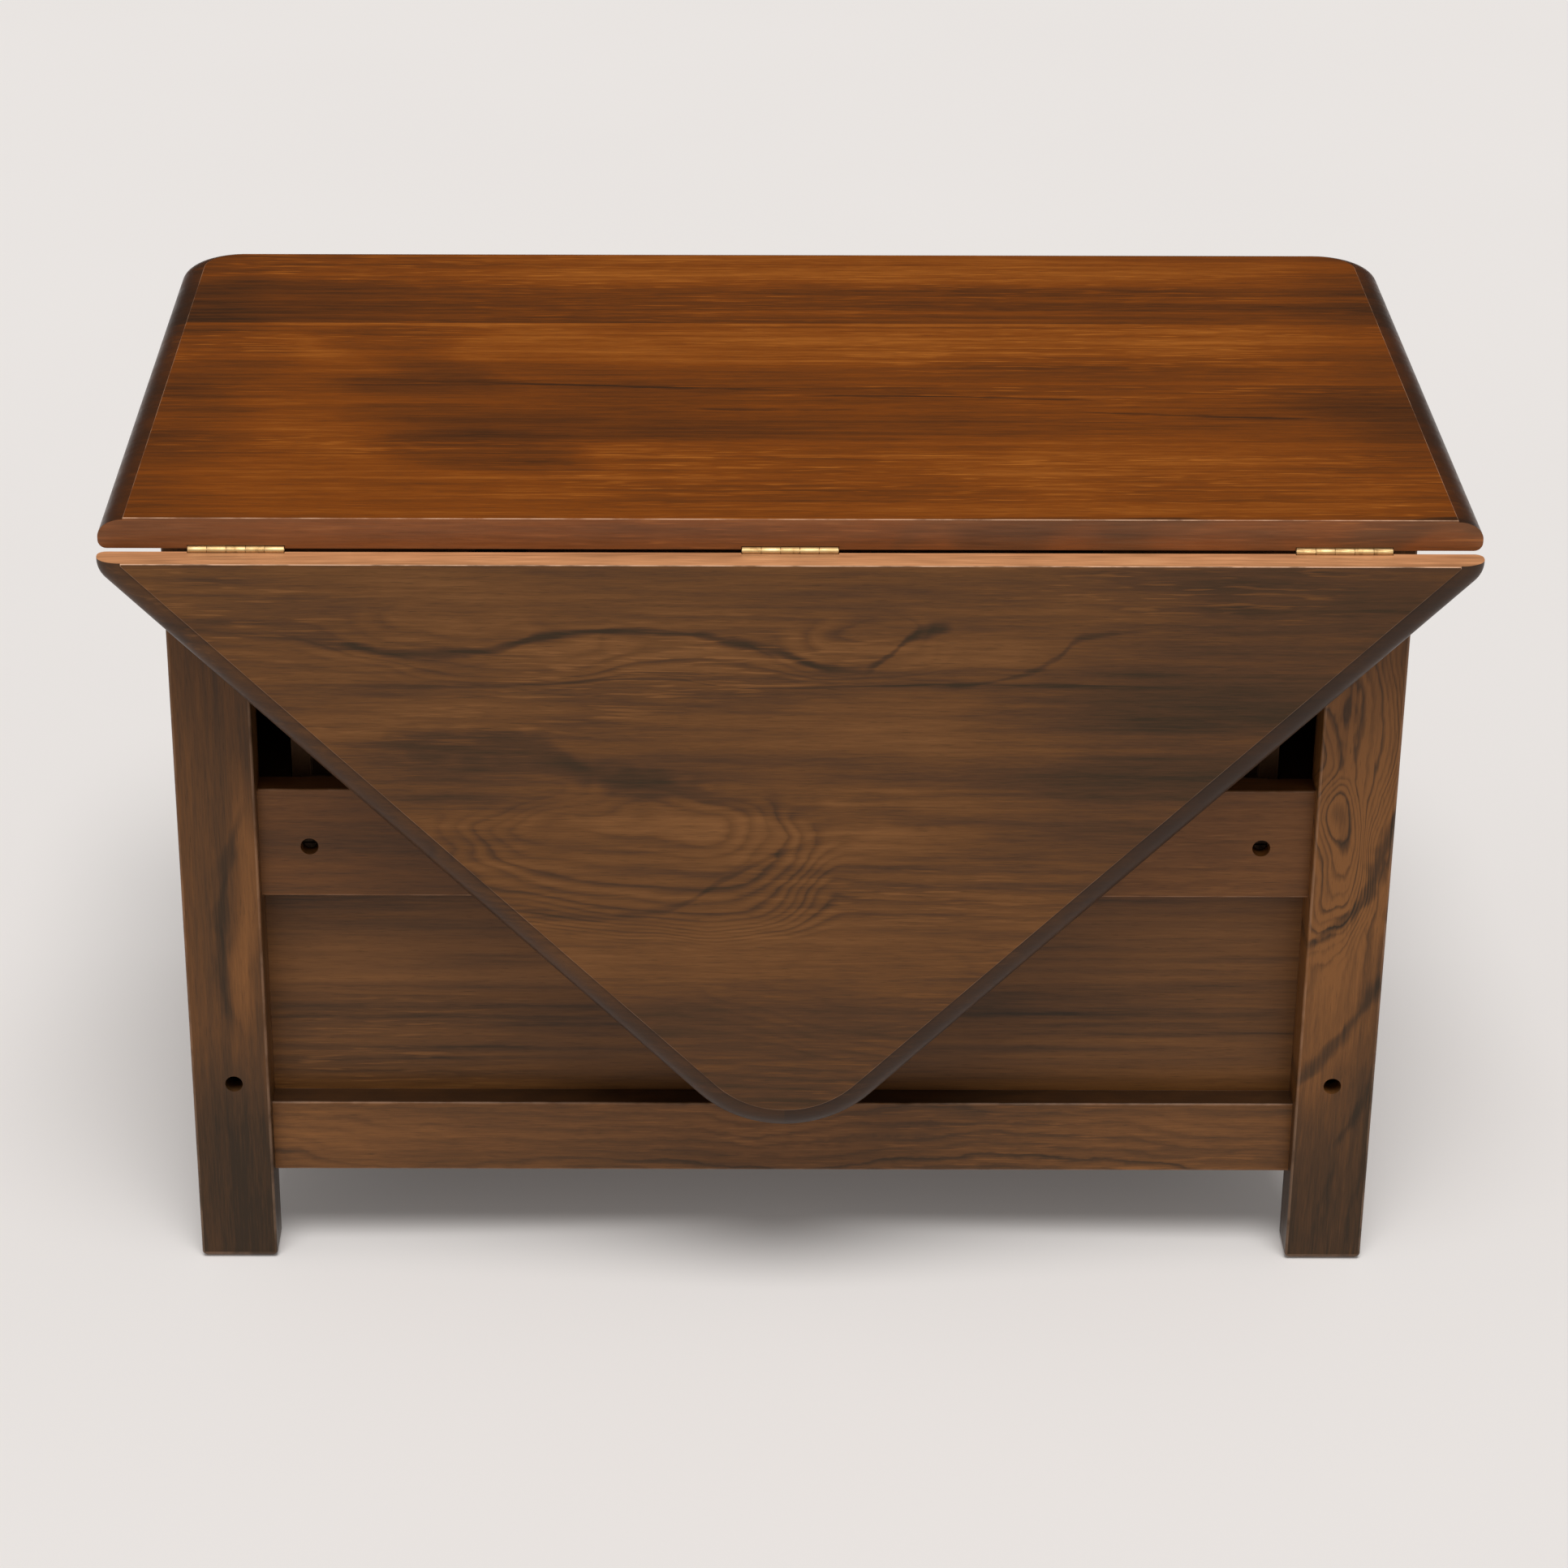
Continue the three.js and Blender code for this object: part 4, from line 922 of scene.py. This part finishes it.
def smooth_copy(node, radius=0.0):
    """The CAD solid with rounded surfaces shaded round and, if given, its square arrises eased."""
    bm = cad_bmesh(node)
    if radius:
        edges = [edge for edge in bm.edges if len(edge.link_faces) == 2 and edge.is_convex
                 and edge.calc_face_angle(0.0) > math.radians(60)]
        bmesh.ops.bevel(bm, geom=edges, offset=radius, segments=2, profile=0.5, affect="EDGES",
                        clamp_overlap=True)
    bm.normal_update()
    set_smooth(bm)
    return bm_to_mesh(bm, node + "_smooth")


def build_fittings():
    source = random.Random(7)
    for node in sorted(frame["nodes"]):
        seed = random_seed(source)
        if node.startswith("hinge_"):
            mesh = smooth_copy(node, 0.0 if node.endswith("pin") else 0.28 * MM)
            add_piece(node + "_brass", mesh, body_of(node), "brass", brass(node + "_brass", seed), node)
        elif "screw" in node:
            mesh = smooth_copy(node)
            material = steel(node + "_steel", seed)
            add_piece(node + "_steel", mesh, body_of(node), "steel", material, node)
        elif "knob" in node:
            mesh = smooth_copy(node)
            build_wooden(node, seed, LEG_TONES, "frame_wood", "Y", mesh, **KNOB_FIGURE)


# ------------------------------------------------------------------ hinge screws
# (radius, height) down the screw from the top of its head; the plate's face is at height 0.
SCREW_PROFILE = ((1.7, 0.20), (2.7, 0.08), (2.85, 0.0), (1.55, -1.3), (1.45, -2.2), (1.45, -8.0),
                 (0.4, -10.5))
SCREW_STEPS = 20
SCREW_SLOT_HALF = (4 * MM, 0.35 * MM)
SCREW_SLOT_DEPTH = 0.55 * MM
# Each screw's place along the hinge, and across the plate as a share of its width.
SCREW_PLACES = ((-18 * MM, 0.42), (0.0, 0.62), (18 * MM, 0.42))


def build_screw_mesh():
    """A slotted countersunk screw, its axis on Z and its head at the top."""
    bm = bmesh.new()
    rows = []
    for radius, height in SCREW_PROFILE:
        circle = arc((0.0, 0.0), radius * MM, 0, 360, SCREW_STEPS)[:-1]
        rows.append([bm.verts.new((x, y, height * MM)) for x, y in circle])
    for upper, lower in zip(rows, rows[1:]):
        for step in range(SCREW_STEPS):
            after = (step + 1) % SCREW_STEPS
            bm.faces.new((upper[step], lower[step], lower[after], upper[after]))
    bm.faces.new(rows[0])
    bm.faces.new(rows[-1][::-1])
    bmesh.ops.recalc_face_normals(bm, faces=bm.faces)
    screw = bpy.data.objects.new("screw", bm_to_mesh(bm, "hinge_screw"))
    bm = bmesh.new()
    length, width = SCREW_SLOT_HALF
    box_verts(bm, (-length, -width, -SCREW_SLOT_DEPTH), (length, width, 1 * MM))
    slot = bpy.data.objects.new("slot_cutter", bm_to_mesh(bm, "slot_cutter"))
    for made in (screw, slot):
        bpy.context.scene.collection.objects.link(made)
    carve(screw, [slot])
    mesh = screw.data
    bpy.data.objects.remove(screw)
    return mesh


def screw_places(middle, pin):
    """(part, body, number, place, tilt) of each of the six screws of the hinge with this middle."""
    for number, (offset, share) in enumerate(SCREW_PLACES, start=1):
        reach = PLATE_OUT + PLATE_WIDTH * share
        under_top = Vector((middle + offset, pin.y + reach, pin.z + PLATE_OUT))
        behind_leaf = Vector((middle + offset, pin.y - PLATE_OUT, pin.z - reach))
        yield "top", "case", number, under_top, math.pi
        yield "leaf", "leaf", number, behind_leaf, -math.pi / 2


def build_hinge_screws():
    source = random.Random(19)
    mesh = build_screw_mesh()
    material = brass("hinge_screw_brass", random_seed(source))
    for word in ("left", "middle", "right"):
        low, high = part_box(f"hinge_{word}_pin")
        for part, body, number, place, tilt in screw_places((low.x + high.x) / 2, leaf_pin()):
            spin = Matrix.Rotation(source.uniform(0, math.pi), 4, "Z")
            piece = add_piece(f"hinge_{word}_{part}_screw_{number}", mesh, body, "brass", material)
            piece.matrix_world = Matrix.Translation(place) @ Matrix.Rotation(tilt, 4, "X") @ spin


# ================================================================== stage, light, camera
def build_stage():
    bm = bmesh.new()
    bmesh.ops.create_circle(bm, cap_ends=True, segments=96, radius=30.0)
    floor = bpy.data.objects.new("floor", bm_to_mesh(bm, "floor"))
    bpy.context.scene.collection.objects.link(floor)
    tree = Tree("floor_paper")
    place = tree.node("ShaderNodeTexCoord").outputs["Object"]
    cloud = tree.noise(tree.stretch(place, (1.5, 1.5, 1.5)), 3.0, 0.5)
    tree.put(tree.shader.inputs["Base Color"],
             tree.ramp(cloud, [(0.3, tuple(0.985 * part for part in FLOOR_TONE)), (0.7, FLOOR_TONE)]))
    tree.shader.inputs["Roughness"].default_value = 0.9
    tree.shader.inputs["Specular IOR Level"].default_value = 0.0
    tree.shader.inputs["Emission Color"].default_value = (*FLOOR_TONE, 1)
    tree.shader.inputs["Emission Strength"].default_value = FLOOR_GLOW
    floor.data.materials.append(tree.material)


def build_sky():
    """Bright overhead, dim behind the drawers' side, where the top would mirror it."""
    world = bpy.data.worlds.new("studio")
    bpy.context.scene.world = world
    world.use_nodes = True
    nodes, links = world.node_tree.nodes, world.node_tree.links
    background = nodes["Background"]
    direction = nodes.new("ShaderNodeTexCoord").outputs["Generated"]
    parts = nodes.new("ShaderNodeSeparateXYZ")
    links.new(direction, parts.inputs[0])
    lift = nodes.new("ShaderNodeMath")
    lift.operation = "MULTIPLY_ADD"
    links.new(parts.outputs["Y"], lift.inputs[0])
    lift.inputs[1].default_value = SKY_LEAN
    links.new(parts.outputs["Z"], lift.inputs[2])
    ramp = nodes.new("ShaderNodeValToRGB")
    links.new(lift.outputs[0], ramp.inputs["Fac"])
    for element, (position, level) in zip(ramp.color_ramp.elements, ((0.10, 0.12), (0.80, 1.0))):
        element.position = position
        element.color = (level, level * 0.99, level * 0.98, 1)
    ramp.color_ramp.interpolation = "EASE"
    links.new(ramp.outputs["Color"], background.inputs["Color"])
    background.inputs["Strength"].default_value = WORLD_STRENGTH


def build_key():
    key = bpy.data.lights.new("overhead_key", "SUN")
    key.energy = KEY_STRENGTH
    key.angle = math.radians(KEY_WIDTH_DEGREES)
    lamp = bpy.data.objects.new("overhead_key", key)
    lamp.rotation_euler = (*(math.radians(tilt) for tilt in KEY_TILT_DEGREES), 0)
    bpy.context.scene.collection.objects.link(lamp)


def build_camera():
    """Almost level across, looking down on the leaf side. The angles are in radians."""
    across = Vector((1, 0, 0))
    ahead = Vector((0, math.cos(CAMERA_PITCH), -math.sin(CAMERA_PITCH)))
    upward = Vector((0, math.sin(CAMERA_PITCH), math.cos(CAMERA_PITCH)))
    camera_x = across * math.cos(CAMERA_ROLL) + upward * math.sin(CAMERA_ROLL)
    camera_y = upward * math.cos(CAMERA_ROLL) - across * math.sin(CAMERA_ROLL)
    turn = Matrix((camera_x, camera_y, -ahead)).transposed()
    data = bpy.data.cameras.new("camera")
    data.sensor_width = 36.0
    data.lens = CAMERA_LENS
    data.shift_x = CAMERA_SHIFT
    camera = bpy.data.objects.new("camera", data)
    camera.matrix_world = Matrix.Translation(CAMERA_PLACE) @ turn.to_4x4()
    bpy.context.scene.collection.objects.link(camera)
    bpy.context.scene.camera = camera


build_camera()
build_stage()
build_sky()
build_key()
build_top()
build_leaf()
build_woodwork()
build_fittings()
build_hinge_screws()

bpy.context.scene.view_settings.view_transform = "Standard"
bpy.context.view_layer.update()
